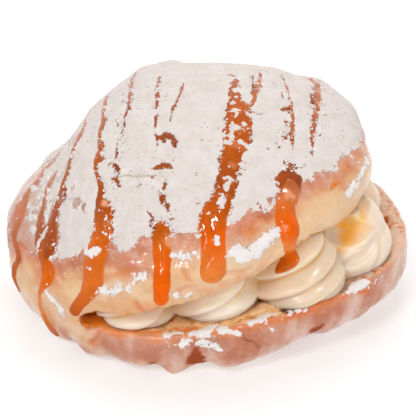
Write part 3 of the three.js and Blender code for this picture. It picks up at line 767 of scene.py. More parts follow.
def sugar_mask(p):
    """Reach of the sugar, positive where it lies, in about millimetres; the lumps' reach; height of what lies under it."""
    x, y, z = to_bun(p)
    coat = coat_of(p)
    ragged = 1.2 * noise(p, 4.5, 3) + 1.2 * noise(p, 2.2, 4) + 1.1 * noise(p, 1.1, 6) + 0.8 * noise(p, 0.5, 7)
    m = np.minimum(coat, 6.0)
    m = m + ragged * smooth(6.5, 0.5, m)
    # thin over the fold on the hinge side
    fold = smooth(-27, -36, x) * smooth(30, 18, np.abs(y + 4))
    m = np.minimum(m, 2.2 - fold * (1.7 + 4.2 * noise(p, 6.0, 9) + 2.4 * noise(p, 2.4, 10) + 1.2 * noise(p, 1.1, 8)))
    # none beyond the first stroke, by the hinge
    m = np.minimum(m, 0.7 * (x + 44.5) + 2.0 * noise(p, 3.0, 34) + 1.2 * noise(p, 1.2, 35))
    # caramel soaks the sugar away but for islands of it
    reach, half, high = caramel_reach(p)
    uneven = 0.9 * noise(p, 1.6, 12) + 0.8 * noise(p, 0.85, 13) + 0.6 * noise(p, 0.45, 11)
    line = reach - 0.06 + uneven * np.clip(0.45 * half + 0.12, 0.25, 0.85)
    isle = (noise(p, 1.6, 71) + 0.65 * noise(p, 0.8, 72) + 0.5 * noise(p, 6.0, 73) - 0.58 + 0.16 * smooth(-29, -36, x) - 0.1 * smooth(0.5, 3.0, -reach)) * 0.9
    line = np.maximum(line, np.minimum(isle, coat - 2.0))
    # pits, more of them by the strokes
    pit = noise(p, 0.6, 61) + 0.7 * noise(p, 6.0, 62) + 0.25 * smooth(5.0, 0.5, reach)
    m = np.minimum(m, (1.02 - pit) * 1.5)
    m = np.minimum(m, line)
    for q, r in zip(bare_p, bare_r):
        near = np.abs(p - q).max(1) < r + 2.5
        if near.any():
            m[near] = np.minimum(m[near], np.linalg.norm(p[near] - q, axis=1) - r + 0.9 * noise(p[near], 1.6, 75) + 0.7 * noise(p[near], 0.8, 76))
    # separate lumps
    d = np.full(len(p), -9.0)
    for q, r in zip(lump_p, lump_r):
        near = np.abs(p - q).max(1) < r + 1.6
        if near.any():
            d[near] = np.maximum(d[near], r - np.linalg.norm(p[near] - q, axis=1))
    lump = d + 0.9 * noise(p, 2.2, 14) + 0.8 * noise(p, 1.1, 15) + 0.5 * noise(p, 0.7, 19)
    lump = np.where(d > -2.5, lump, -9)
    return np.maximum(m, lump), lump, high


def build_sugar(h=0.555):
    lo = np.array([-56, -48, 8.0])
    p, quads = iso_quads(sample_band(bun_field, lo, (56, 48, 66), h), lo, h)
    # keep what may carry sugar before the closer look
    may = coat_of(p) > -2.4
    for q, r in zip(lump_p, lump_r):
        may |= np.abs(p - q).max(1) < r + 1.2
    quads = quads[may[quads].all(1)]
    p, quads = compact(p, quads)
    p = settle(bun_field, p, 1)
    m = sugar_mask(p)[0]
    quads = quads[(m[quads] > -0.9).any(1)]
    p, quads, m = compact(p, quads, m)
    n = normals_of(bun_field, p)
    # finer along the edges that the main view shows
    edge = (np.abs(m[quads]) < 0.75).any(1) & (np.einsum("ij,ij->i", n, p - CAM)[quads[:, 0]] < 40)
    p, tri = refine(p, quads, edge)
    p = settle(bun_field, p, 1, 0.1)
    m, lump, under = sugar_mask(p)
    tri = tri[(m[tri] > -0.2).any(1)]
    p, tri, m, lump, under = compact(p, tri, m, lump, under)
    n = normals_of(bun_field, p)
    thick = 0.42 + 0.06 * noise(p, 5.0, 16) + 0.06 * noise(p, 1.8, 17) + 0.12 * noise(p, 0.9, 18)
    thick = thick * lerp(0.55, 1.0, smooth(0.0, 2.0, m))
    thick += 0.2 * smooth(0.0, 1.4, lump)
    # a crack across the coat
    crack = curve([(119, 177.5), (128, 175.5), (136, 177), (144, 176), (153, 176.5)], 1.0)
    q = settle(bun_field, cast(crack), 1)
    near = np.flatnonzero(np.abs(p - q.mean(0)).max(1) < 8)
    d = np.full(len(p), 9.0)
    d[near] = np.linalg.norm(p[near][:, None] - q[None], axis=2).min(1) + 0.12 * noise(p[near], 0.8, 36)
    crack = smooth(0.5, 0.15, d)
    rise = (thick * np.sqrt(smooth(-0.08, 0.5, m)) - 0.45 * smooth(0.1, -0.2, m)) * (1 - 0.5 * crack) + under
    col = lerp(srgb(224, 213, 207)[None], srgb(229, 219, 214)[None], smooth(-0.5, 0.5, noise(p, 4.0, 37))[:, None])
    # painted light: the sugar is lighter along its edges, against the shade on its low walls
    col = lerp(col, srgb(246, 239, 235)[None], (0.7 * smooth(0.3, 0.0, m))[:, None])
    col = lerp(col, srgb(200, 186, 166)[None], crack[:, None])
    col = lerp(col, srgb(239, 232, 229)[None], smooth(-0.3, 0.3, lump)[:, None] * smooth(1.0, -1.0, coat_of(p))[:, None])
    return p + n * rise[:, None], tri, col


def build_specks(p, n):
    """Loose grains: in the strokes, by the edges of the coat and a few elsewhere."""
    coat = coat_of(p)
    pick = coat > -7
    for q in lump_p[::3]:
        pick |= np.abs(p - q).max(1) < 3.0
    p, n, coat = p[pick], n[pick], coat[pick]
    front = np.einsum("ij,ij->i", n, p - CAM) < 60
    # a closer set of places along the edges of the sugar
    m = sugar_mask(p)[0]
    edge = np.flatnonzero((np.abs(m + 0.1) < 0.8) & front)
    many = np.repeat(edge, np.where(coat[edge] < 1.0, 2, 7))
    q = p[many] + rng.normal(0, 0.3, (len(many), 3))
    q = settle(bun_field, q, 1)
    m, _, under = sugar_mask(q)
    by = (m < 0.05) & (m > -0.5) & (caramel_reach(q)[0] > -0.5)
    take = rng.random(len(q)) < np.where(by, 0.4 * np.exp(np.minimum(m, 0) / 0.16), 0.0)
    eq, en, eu = q[take], n[many][take], under[take]
    es = np.clip(rng.lognormal(math.log(0.13), 0.35, len(eq)), 0.07, 0.26)
    # and loose ones: chances for each square millimetre
    m, lump, under = sugar_mask(p)
    reach, _, _ = caramel_reach(p)
    chance = np.where((reach < -0.1) & (coat > 0.3), 0.01, 0.0)
    chance += 0.16 * np.exp(np.minimum(m, 0) / 0.5) * (m < -0.1)
    chance += 0.01 * (m < 0) * smooth(-7, 0, coat)
    take = rng.random(len(p)) < chance * np.where(front & (coat < 1.5), 0.17, 0.67)
    p, n, under = p[take], n[take], under[take]
    size = np.clip(rng.lognormal(math.log(0.14), 0.5, len(p)), 0.06, 0.42)
    p = settle(bun_field, p + rng.normal(0, 0.25, p.shape), 1)
    p, n, under, size = np.concatenate([p, eq]), np.concatenate([n, en]), np.concatenate([under, eu]), np.concatenate([size, es])
    p = p + n * (under + 0.35 * size)[:, None]
    g = (1 + 5**0.5) / 2
    ball = np.array([(-1, g, 0), (1, g, 0), (-1, -g, 0), (1, -g, 0), (0, -1, g), (0, 1, g), (0, -1, -g), (0, 1, -g), (g, 0, -1), (g, 0, 1), (-g, 0, -1), (-g, 0, 1)])
    ball /= np.linalg.norm(ball, axis=1, keepdims=True)
    tri = np.array([(0, 11, 5), (0, 5, 1), (0, 1, 7), (0, 7, 10), (0, 10, 11), (1, 5, 9), (5, 11, 4), (11, 10, 2), (10, 7, 6), (7, 1, 8), (3, 9, 4), (3, 4, 2), (3, 2, 6), (3, 6, 8), (3, 8, 9), (4, 9, 5), (2, 4, 11), (6, 2, 10), (8, 6, 7), (9, 8, 1)])
    shape = ball[None] * (1 + 0.35 * rng.normal(size=(len(p), 12, 1)).clip(-1, 1)) * (1 + 0.35 * rng.random((len(p), 1, 3)))
    pts = p[:, None] + shape * size[:, None, None]
    return pts.reshape(-1, 3), (tri[None] + 12 * np.arange(len(p))[:, None, None]).reshape(-1, 3)


def displaced_bun(p, n):
    """Small relief of the crust, the crumb and the glaze."""
    o, w, s, low, up, x, y, z = bun_parts(p)
    crumb = smooth(0.35, 1.2, -o) * smooth(-0.4, 0.6, s)
    below = smooth(1.0, -1.0, z - low) * smooth(-4, 4, s) + smooth(2, -6, z - ZC) * smooth(4, -4, s)
    crust = 0.32 * noise(p, 14.0, 20) + 0.28 * noise(p, 6.0, 21) + 0.12 * noise(p, 2.6, 22) + 0.03 * noise(p, 1.3, 44)
    run = np.stack([p[:, 0], p[:, 1], 0.5 * p[:, 2]], 1)
    glaze = 0.3 * noise(p, 10.0, 26) + 0.36 * noise(run, 4.5, 27) + 0.14 * noise(run, 2.2, 28)
    pores = 0.5 * noise(p, 4.2, 23) + 0.35 * noise(p, 1.9, 24) - 0.35 * np.clip(noise(p, 1.5, 25), 0, 1)
    # torn edges along the slit
    lip = np.exp(-((np.maximum(np.abs(o), np.minimum(np.abs(z - up), np.abs(z - low))) / 1.4) ** 2)) * smooth(0, 8, s)
    torn = (0.45 * noise(p, 3.2, 29) + 0.35 * noise(p, 1.6, 30)) * (1 - 0.75 * smooth(26, 40, x))
    return lerp(lerp(crust, glaze, below), pores, crumb) + lip * torn, crumb, below


# ------------------------------------------------------------------ materials
def nodes_of(name):
    m = bpy.data.materials.new(name)
    m.use_nodes = True
    nt = m.node_tree
    nt.nodes.clear()
    out = nt.nodes.new("ShaderNodeOutputMaterial")
    bsdf = nt.nodes.new("ShaderNodeBsdfPrincipled")
    nt.links.new(bsdf.outputs["BSDF"], out.inputs["Surface"])
    return m, nt, bsdf


def attribute(nt, name):
    n = nt.nodes.new("ShaderNodeAttribute")
    n.attribute_name = name
    return n


def grain(nt, size_mm, detail=3.0, rough=0.55):
    co = nt.nodes.new("ShaderNodeTexCoord")
    n = nt.nodes.new("ShaderNodeTexNoise")
    n.inputs["Scale"].default_value = 1000.0 / size_mm
    n.inputs["Detail"].default_value = detail
    n.inputs["Roughness"].default_value = rough
    nt.links.new(co.outputs["Object"], n.inputs["Vector"])
    return n


def span(nt, value, lo, hi, from_lo=0.3, from_hi=0.7):
    n = nt.nodes.new("ShaderNodeMapRange")
    n.inputs["From Min"].default_value = from_lo
    n.inputs["From Max"].default_value = from_hi
    n.inputs["To Min"].default_value = lo
    n.inputs["To Max"].default_value = hi
    nt.links.new(value, n.inputs["Value"])
    return n.outputs["Result"]


def times(nt, colour, factor):
    n = nt.nodes.new("ShaderNodeVectorMath")
    n.operation = "SCALE"
    nt.links.new(colour, n.inputs[0])
    nt.links.new(factor, n.inputs["Scale"])
    return n.outputs["Vector"]


def product(nt, a, b):
    n = nt.nodes.new("ShaderNodeMath")
    n.operation = "MULTIPLY"
    nt.links.new(a, n.inputs[0])
    nt.links.new(b, n.inputs[1])
    return n.outputs[0]


def mixed(nt, factor, colour, other):
    n = nt.nodes.new("ShaderNodeMix")
    n.data_type = "RGBA"
    nt.links.new(factor, n.inputs["Factor"])
    nt.links.new(colour, n.inputs[6])
    n.inputs[7].default_value = (*other, 1)
    return n.outputs[2]


def bump(nt, height, strength, distance_mm):
    n = nt.nodes.new("ShaderNodeBump")
    n.inputs["Distance"].default_value = distance_mm * 0.001
    if isinstance(strength, float):
        n.inputs["Strength"].default_value = strength
    else:
        nt.links.new(strength, n.inputs["Strength"])
    nt.links.new(height, n.inputs["Height"])
    return n.outputs["Normal"]


def bun_material():
    m, nt, b = nodes_of("bun")
    col = attribute(nt, "col")
    fine = grain(nt, 1.3)
    base = times(nt, col.outputs["Color"], span(nt, fine.outputs["Fac"], 0.96, 1.04))
    frost = attribute(nt, "frost").outputs["Fac"]
    warm = product(nt, span(nt, grain(nt, 4.5, 3.0, 0.55).outputs["Fac"], 0.0, 0.35, 0.5, 0.68), frost)
    base = mixed(nt, warm, base, srgb(206, 118, 70))
    white = product(nt, span(nt, grain(nt, 3.0, 4.0, 0.6).outputs["Fac"], 0.0, 0.35, 0.52, 0.7), frost)
    base = mixed(nt, white, base, srgb(232, 200, 182))
    nt.links.new(base, b.inputs["Base Color"])
    nt.links.new(attribute(nt, "rough").outputs["Fac"], b.inputs["Roughness"])
    b.inputs["Subsurface Weight"].default_value = 0.3
    b.inputs["Subsurface Radius"].default_value = (1.0, 0.45, 0.2)
    b.inputs["Subsurface Scale"].default_value = 0.002
    b.inputs["Specular IOR Level"].default_value = 0.3
    crumb = attribute(nt, "crumb")
    nt.links.new(span(nt, crumb.outputs["Fac"], 0.7, 0.0, 0, 1), b.inputs["Coat Weight"])
    b.inputs["Coat Roughness"].default_value = 0.08
    b.inputs["Coat IOR"].default_value = 1.4
    relief = bump(nt, grain(nt, 1.8, 3.0, 0.6).outputs["Fac"], span(nt, crumb.outputs["Fac"], 0.16, 1.0, 0, 1), 0.7)
    nt.links.new(relief, b.inputs["Normal"])
    gloss = bump(nt, grain(nt, 2.4, 2.0, 0.5).outputs["Fac"], 0.4, 0.8)
    nt.links.new(gloss, b.inputs["Coat Normal"])
    return m


def cream_material():
    m, nt, b = nodes_of("cream")
    col = attribute(nt, "col")
    base = times(nt, col.outputs["Color"], span(nt, grain(nt, 5.0).outputs["Fac"], 0.98, 1.02))
    nt.links.new(base, b.inputs["Base Color"])
    nt.links.new(attribute(nt, "rough").outputs["Fac"], b.inputs["Roughness"])
    b.inputs["Subsurface Weight"].default_value = 0.75
    b.inputs["Subsurface Radius"].default_value = (1.0, 0.74, 0.36)
    b.inputs["Subsurface Scale"].default_value = 0.004
    b.inputs["Specular IOR Level"].default_value = 0.3
    return m


def caramel_material():
    m, nt, b = nodes_of("caramel")
    col = attribute(nt, "col")
    base = times(nt, col.outputs["Color"], span(nt, grain(nt, 3.0).outputs["Fac"], 0.9, 1.1))
    nt.links.new(base, b.inputs["Base Color"])
    nt.links.new(attribute(nt, "film").outputs["Fac"], b.inputs["Alpha"])
    b.inputs["Roughness"].default_value = 0.1
    b.inputs["Subsurface Weight"].default_value = 0.15
    b.inputs["Subsurface Radius"].default_value = (1.0, 0.3, 0.05)
    b.inputs["Subsurface Scale"].default_value = 0.0015
    nt.links.new(span(nt, attribute(nt, "film").outputs["Fac"], 0.0, 0.2, 0.55, 0.9), b.inputs["Specular IOR Level"])
    nt.links.new(bump(nt, grain(nt, 2.5, 2.0).outputs["Fac"], 0.15, 0.6), b.inputs["Normal"])
    return m


def sugar_material():
    m, nt, b = nodes_of("sugar")
    base = times(nt, attribute(nt, "col").outputs["Color"], span(nt, grain(nt, 2.0, 5.0, 0.65).outputs["Fac"], 0.95, 1.05))
    # tiny pits, here and there, where the crust shows
    spots = span(nt, grain(nt, 1.1, 2.0, 0.6).outputs["Fac"], 0.0, 1.0, 0.63, 0.7)
    where = span(nt, grain(nt, 14.0, 2.0).outputs["Fac"], 0.0, 0.75, 0.46, 0.58)
    both = nt.nodes.new("ShaderNodeMath")
    both.operation = "MULTIPLY"
    nt.links.new(spots, both.inputs[0])
    nt.links.new(where, both.inputs[1])
    mix = nt.nodes.new("ShaderNodeMix")
    mix.data_type = "RGBA"
    nt.links.new(both.outputs[0], mix.inputs["Factor"])
    nt.links.new(base, mix.inputs[6])
    mix.inputs[7].default_value = (*srgb(150, 104, 84), 1)
    nt.links.new(mix.outputs[2], b.inputs["Base Color"])
    b.inputs["Roughness"].default_value = 0.95
    b.inputs["Specular IOR Level"].default_value = 0.1
    nt.links.new(bump(nt, grain(nt, 0.7, 4.0, 0.65).outputs["Fac"], 0.5, 0.3), b.inputs["Normal"])
    return m


# ------------------------------------------------------------------ the bun
H_BUN = 0.88
lo, hi = np.array([-57.0, -49.0, -1.5]), np.array([57.0, 49.0, 66.0])
p, quads = iso_quads(sample_band(bun_field, lo, hi, H_BUN), lo, H_BUN)
p = settle(bun_field, p, 2)
n = normals_of(bun_field, p)
shown = (coat_of(p) < 1.0) & (np.einsum("ij,ij->i", n, p - CAM) < 30) & (p[:, 2] > 0.2) & (bun_parts(p)[0] > -6) & (p[:, 1] < 22)
p, faces = refine(p, quads, shown[quads].any(1))
p = settle(bun_field, p, 2, 0.2)
n = normals_of(bun_field, p)
rise, crumb, below = displaced_bun(p, n)
for (_, _, a, r), q in zip(BLISTERS, settle(bun_field, cast([b[:2] for b in BLISTERS]), 2)):
    rise += a * np.exp(-np.sum((p - q) ** 2, axis=1) / (2 * r * r))
# creases in the crust in the main view: points, half width and depth in millimetres, colour, strength
LINE = {"crack": (150, 70, 36), "rust": (222, 120, 62), "peach": (222, 156, 118), "rose": (196, 136, 116), "ember": (234, 134, 60)}
CREASES = [
    ([(104, 279), (114, 275), (128, 272.5), (140, 273), (151, 276)], 0.9, 0.5, "ember", 0.5),
    ([(18.7, 244), (26, 250), (33, 256), (41, 261.5)], 0.8, 0.4, "rust", 0.6),
    ([(184, 272), (186, 277), (189, 281)], 0.6, 0.4, "ember", 0.7),
    ([(176, 294), (184, 289), (193, 286.5)], 0.7, 0.4, "peach", 0.5),
    ([(136, 303), (141, 309), (150, 311), (160, 307)], 0.7, 0.45, "rust", 0.6),
    ([(222, 277), (230, 273), (240, 272), (250, 268)], 0.7, 0.4, "peach", 0.5),
    ([(244, 338.5), (249, 341), (252, 340.5), (256, 344.5), (259, 348)], 0.28, 0.5, "crack", 0.9),
    ([(52, 262), (58, 270), (62, 280)], 0.8, 0.35, "peach", 0.5),
    ([(98, 332), (97, 338), (92, 343)], 0.8, 0.6, "rust", 0.7),
    ([(150, 356), (157, 352), (166, 350), (175, 353)], 0.9, 0.4, "rose", 0.4),
    ([(176, 329), (184, 330.5), (192, 331), (199, 330)], 1.1, 0, "ember", 1),
    ([(106, 331), (116, 331.5), (128, 331), (142, 331.5), (156, 332)], 1, 0, "ember", 0.9),
    ([(262, 322.5), (270, 321), (278, 319)], 0.8, 0, "rust", 0.8),
    ([(286, 318.5), (292, 316), (299, 313.5), (306, 310), (312, 306.5), (320, 302.5)], 1, 0, "rust", 0.9),
    ([(328, 301.5), (338, 299), (347, 296.5)], 0.8, 0, "rust", 0.9),
    ([(360, 291.5), (366, 289.5), (369, 287)], 1, 0, "rust", 0.9),
    ([(236, 328), (243, 327), (249, 325)], 0.8, 0, "rust", 0.8),
    ([(402, 222), (404, 234), (404, 246), (402, 258), (398, 268)], 0.7, 0, "peach", 0.35),
]
_c, _p = cast_all([k[0] for k in CREASES], 1.2)
stain = []
for (_, half, deep, tint, k), q in zip(CREASES, _p):
    near = np.flatnonzero(((p > q.min(0) - 4) & (p < q.max(0) + 4)).all(1))
    d = np.linalg.norm(p[near][:, None] - q[None], axis=2).min(1) * (1 + 0.3 * noise(p[near], 1.8, 47))
    groove = np.exp(-((d / half) ** 2))
    rise[near] += 0.4 * deep * np.exp(-(((d - 1.9 * half) / half) ** 2)) - deep * groove
    stain.append((near, groove * k, srgb(*LINE[tint])))
o, w, s, low, up, x, y, z = bun_parts(p)
rise = rise * smooth(0.0, 2.0, p[:, 2])
rise = rise * smooth(2.5, 0.5, coat_of(p)) - 0.05 * smooth(0.5, 2.5, coat_of(p))
bun_p, bun_n = p + n * rise[:, None], n

# browning: pale ring at the waist, brown above it and below
level = (z - ZC) - np.clip(s, 0, None) * RISE
wob = 1.8 * noise(p, 10.0, 50) + 1.2 * noise(p, 4.0, 51) + 0.7 * noise(p, 1.7, 65)
coat = coat_of(p)
PALE, TAN, MAUVE, BROWN = srgb(234, 192, 152), srgb(228, 164, 114), srgb(208, 124, 80), srgb(158, 84, 50)
LOWER, VEIL_AND_SHEEN, CRUMB, LIP = srgb(196, 124, 94), srgb(228, 192, 176), srgb(252, 206, 150), srgb(238, 142, 70)
# a little browner towards the hinge
hinge = smooth(2, -14, x)[:, None]
col = lerp(lerp(PALE[None], srgb(228, 178, 132)[None], hinge), lerp(TAN[None], srgb(218, 146, 98)[None], hinge), smooth(-8.5, -4.0, coat + wob)[:, None])
col = lerp(col, lerp(MAUVE[None], srgb(198, 112, 70)[None], hinge), smooth(-4.5, -1.0, coat + wob)[:, None])
col = lerp(col, BROWN[None], smooth(0.2, 1.8, coat + 0.4 * wob)[:, None])
blush = smooth(0.05, 0.6, noise(p, 7.0, 52) + 0.6 * noise(p, 2.6, 53)) * smooth(9.0, 1.0, level)
col = lerp(col, srgb(226, 156, 112)[None], 0.75 * blush[:, None])
gold = smooth(0.0, 0.6, noise(p, 8.0, 57) + 0.5 * noise(p, 3.0, 58)) * smooth(-2.0, -5.0, coat)
col = lerp(col, srgb(242, 212, 172)[None], 0.55 * gold[:, None])
foldc = smooth(-26, -36, x) * smooth(-1, 3, coat)
col = lerp(col, srgb(200, 150, 130)[None], (smooth(-42, -46, x) * smooth(-2, 1, coat))[:, None])
col = lerp(col, lerp(srgb(218, 206, 196)[None], srgb(196, 148, 122)[None], smooth(0.2, 0.9, noise(p, 4.0, 59) + 0.4 * noise(p, 1.6, 66))[:, None]), (0.85 * foldc * smooth(-48, -43, x))[:, None])
# glaze has run down the lower crust in whitish veils; their whitening, stronger towards the foot, is also a painted
# reflection of the floor
run = np.stack([p[:, 0], p[:, 1], 0.45 * p[:, 2]], 1)
veil_and_sheen = smooth(-0.45, 0.65, noise(run, 7.0, 54) + 0.4 * noise(run, 2.8, 60) + 0.15 * noise(p, 1.1, 67) + 0.4 * smooth(8, 1, p[:, 2]) + 0.25 * smooth(36, 46, p[:, 0]) - 0.1)
# at the hinge the pale waist reaches down to the foot
under = below * lerp(smooth(10, 4, p[:, 2]), 1.0, smooth(-37, -27, x + 1.5 * noise(p, 5.0, 48)))
col = lerp(col, lerp(LOWER[None], VEIL_AND_SHEEN[None], veil_and_sheen[:, None]), under[:, None])
lip = smooth(-3.4, -0.5, z - low + 0.8 * noise(p, 3.0, 68)) * below * smooth(0, 6, s)
col = lerp(col, LIP[None], (0.85 * lip * smooth(-0.6, 0.3, noise(p, 4.5, 55)) * (1 - 0.65 * smooth(30, 44, x)))[:, None])
holes = smooth(0.0, 0.8, noise(p, 1.6, 56) + 0.8 * noise(p, 0.8, 69))
crumbc = lerp(CRUMB[None], srgb(194, 108, 38)[None], 0.8 * holes[:, None])
# the rim is paler at the open end, with browned dots at its edge
far = smooth(24, 40, x) * smooth(-8.0, -4.0, o)
crumbc = lerp(crumbc, lerp(srgb(222, 188, 163)[None], srgb(210, 114, 58)[None], (smooth(0.15, 0.5, noise(p, 1.3, 38) + 0.3 * smooth(-2.5, -0.5, o) - 0.15))[:, None]), far[:, None])
# the crumb deep in the slit is amber, painted lighter towards the front against the shade in the pocket
crumbc = lerp(crumbc, lerp(srgb(206, 112, 4)[None], srgb(234, 130, 4)[None], smooth(-24, -34, y)[:, None]), smooth(10.0, 6.0, s)[:, None])
# painted shade: the crumb darkens at the foot of the cream
cream_foot_shade = smooth(1.3, 0.1, cream_field(p) + 0.5 * noise(p, 2.0, 70)) * smooth(3.0, -3.0, z - low - 1.0)
crumbc = lerp(crumbc, srgb(126, 76, 34)[None], (0.48 * cream_foot_shade * (1 - 0.6 * smooth(34, 44, x)))[:, None])
col = lerp(col, crumbc, crumb[:, None])

# tones of the crust: glaze-pale dough, straw dough, rosy glaze over brown, blush, browned edge, bare crust, holes, shade in gaps, loose crumb
CRUST = {
    "wax": (230, 200, 174), "straw": (232, 200, 156), "rose": (206, 148, 128), "peach": (226, 162, 124), "rust": (220, 126, 72), "bare": (158, 68, 22), "hole": (184, 90, 34), "gloom": (96, 58, 24), "meal": (242, 210, 170),
}
# patches in the main view: across, down, radius, tone, strength
# the darkest patches, by the foot of the cream, and the hole patch at (170, 319) are painted shade in gaps
PAINT = [
    (28, 272, 12, "straw", 0.9), (26, 287, 9, "straw", 0.8), (50, 300, 9, "wax", 0.8), (70, 278, 8, "straw", 0.7), (62, 316, 10, "wax", 0.8), (80, 332, 8, "wax", 0.8),
    (24, 247, 7, "rose", 0.8), (65, 262, 8, "rose", 0.7), (121, 257, 12, "rose", 0.8), (124, 257, 4, "rust", 0.8), (140, 263, 10, "rose", 0.7), (185, 246, 9, "peach", 0.8),
    (236, 238, 8, "rose", 0.8), (250, 231, 9, "rust", 0.8), (266, 214, 7, "hole", 0.9), (306, 194, 8, "rose", 0.8), (325, 179, 10, "rose", 0.9), (341, 167, 8, "peach", 0.8),
    (352, 158, 7, "peach", 0.8), (363, 148, 6, "straw", 0.8), (318, 206, 13, "straw", 0.8), (340, 203, 11, "straw", 0.8), (368, 172, 7, "meal", 0.8), (302, 229, 10, "straw", 0.8),
    (150, 307, 8, "peach", 0.8), (140, 309, 4, "rust", 0.8), (240, 277, 7, "peach", 0.8), (224, 286, 6, "peach", 0.8), (262, 268, 6, "peach", 0.8), (310, 241, 5, "peach", 0.8),
    (66, 324, 10, "wax", 0.95), (76, 332, 9, "wax", 0.95), (84, 342, 8, "wax", 0.95), (90, 333, 6, "wax", 0.95), (72, 337, 7, "straw", 0.9), (101, 328, 4, "peach", 0.9),
    (103, 333, 5, "rose", 0.9), (93, 342, 5, "rust", 0.9), (140, 345, 12, "rose", 0.7), (163, 350, 9, "rose", 0.7), (150, 336, 7, "peach", 0.7), (102, 353, 8, "wax", 0.7),
    (173, 364, 6, "straw", 0.9), (142, 362, 5, "wax", 0.8), (153, 361, 3, "bare", 0.9), (315, 330, 5, "bare", 1), (321, 326, 3, "bare", 1), (232, 341, 6, "rose", 0.9),
    (278, 337, 10, "rose", 0.6), (345, 309, 10, "rose", 0.6), (385, 285, 9, "rose", 0.5), (401, 257, 9, "wax", 0.9), (395, 272, 8, "straw", 0.9),
    (404, 240, 6, "wax", 0.8), (130, 329, 5, "peach", 0.7), (162, 332, 5, "rust", 0.8), (192, 329, 6, "rust", 0.9), (310, 308, 5, "rust", 0.9), (300, 314, 4, "rust", 0.9),
    (335, 301, 6, "rust", 0.8), (365, 291, 4, "rust", 0.9), (385, 218.5, 3.2, "hole", 1), (386.5, 224, 3.4, "hole", 1), (387.5, 228.5, 2.2, "hole", 1), (262, 299, 5, "gloom", 1),
    (257, 297, 3, "gloom", 1), (290, 311.5, 4.6, "gloom", 1), (285, 311.5, 4.2, "gloom", 1), (170, 319, 4, "hole", 1), (264, 309, 6, "meal", 1), (256, 312, 5.5, "meal", 1),
    (275, 309.5, 4.5, "straw", 1), (196, 350, 2.38, "bare", 1), (194.5, 354, 3.08, "bare", 1), (197.5, 354, 3.08, "bare", 1), (192, 358, 3.64, "bare", 1),
    (196.5, 358, 4.2, "bare", 1), (201, 358, 3.64, "bare", 1), (190.5, 361.5, 3.64, "bare", 1), (196, 361.5, 4.48, "bare", 1), (202, 361.5, 3.64, "bare", 1),
]
for (u, v, r, c, k), q in zip(PAINT, cast([(a[0], a[1]) for a in PAINT])):
    r, c = r / 3.68, CRUST[c]
    near = np.abs(p - q).max(1) < 2.2 * r
    loose = 1.0 if k < 1 else 0.55
    d = np.linalg.norm(p[near] - q, axis=1) + loose * r * (0.5 * noise(p[near], r, 63) + 0.35 * noise(p[near], 0.4 * r, 64))
    soft = 0.1 if k < 1 else 0.85
    col[near] = lerp(col[near], (srgb(*c) * (1.03, 0.97, 0.9))[None], ((0.8 if k < 1 else 1) * k * smooth(1.6 * r, soft * r, d))[:, None])
# matte places without a coat: bare crust, holes and the painted shade in gaps
bare = np.zeros(len(p))
for (u, v, r, c, k), q in zip(PAINT, cast([(a[0], a[1]) for a in PAINT])):
    if c in ("bare", "hole", "gloom"):
        bare = np.maximum(bare, smooth(1.9, 1.2, np.linalg.norm(p - q, axis=1) / (r / 3.68)))
for near, k, tint in stain:
    col[near] = lerp(col[near], tint[None], k[:, None])
# a dusting of sugar by the coat and the lumps
near = np.flatnonzero((coat < 2) & (coat > -14) & (np.einsum("ij,ij->i", n, p - CAM) < 60) & (crumb < 0.5))
m = sugar_mask(p[near])[0]
dust = smooth(-2.6, 0.0, m) * np.clip(0.55 + 0.9 * noise(p[near], 0.8, 45) + 0.5 * noise(p[near], 2.5, 46), 0, 1)
col[near] = lerp(col[near], srgb(226, 208, 200)[None], 0.36 * dust[:, None])
rough = lerp(0.4 + 0.1 * noise(p, 3.0, 40), 0.85, np.maximum(crumb, bare))
# frosty glaze: on the browned band and the lower crust, thin on the pale waist
frost = np.clip(smooth(-9.0, -2.0, coat) + 0.8 * under, 0.15, 1.0) * (1 - crumb) * (1 - bare)
bun = make_mesh("bun_hi", bun_p, faces, bun_material(), col, {"rough": rough, "crumb": np.maximum(crumb, bare), "frost": frost})

# ---------------------------------------------------------------- the cream
H_CREAM = 0.45
lo, hi = np.array([-36.0, -46.0, 8.0]), np.array([56.0, 48.0, 42.0])
p, quads = iso_quads(sample_band(cream_field, lo, hi, H_CREAM), lo, H_CREAM)
p = settle(cream_field, p, 1, 0.25)
f, cave = cream_field(p, True)
x, y, z = to_bun(p)
s, low, up = slit(x, y)
# painted shade: a deeper yellow in the creases of the bands and deep inside the bun
inside = smooth(-6.0, -14.0, outer(x, y, z))
tone = np.clip(0.9 * smooth(0.55, 1.0, cave) * smooth(0.1, 0.7, (z - low) / np.maximum(up - low, 1)) + 0.5 * inside, 0, 1)
col = lerp(srgb(239, 220, 200)[None], srgb(250, 196, 96)[None], tone[:, None])
# where the light comes through the cream in the main view: across, down, radius, tone, strength
THROUGH = {"amber": (252, 180, 50), "honey": (248, 194, 106), "straw": (247, 209, 150)}
GLOW = [
    (364, 206, 6, "straw", 0.5), (364, 229, 6, "straw", 0.7), (354, 241, 7, "straw", 0.6), (353, 216, 5, "straw", 0.7), (357, 229, 7, "honey", 0.7),
    (349, 240, 6, "honey", 0.75), (350, 222, 7, "honey", 0.9), (348, 231, 7.5, "amber", 0.8), (344, 237, 6, "amber", 0.8), (343.5, 225, 6, "amber", 1.0),
]
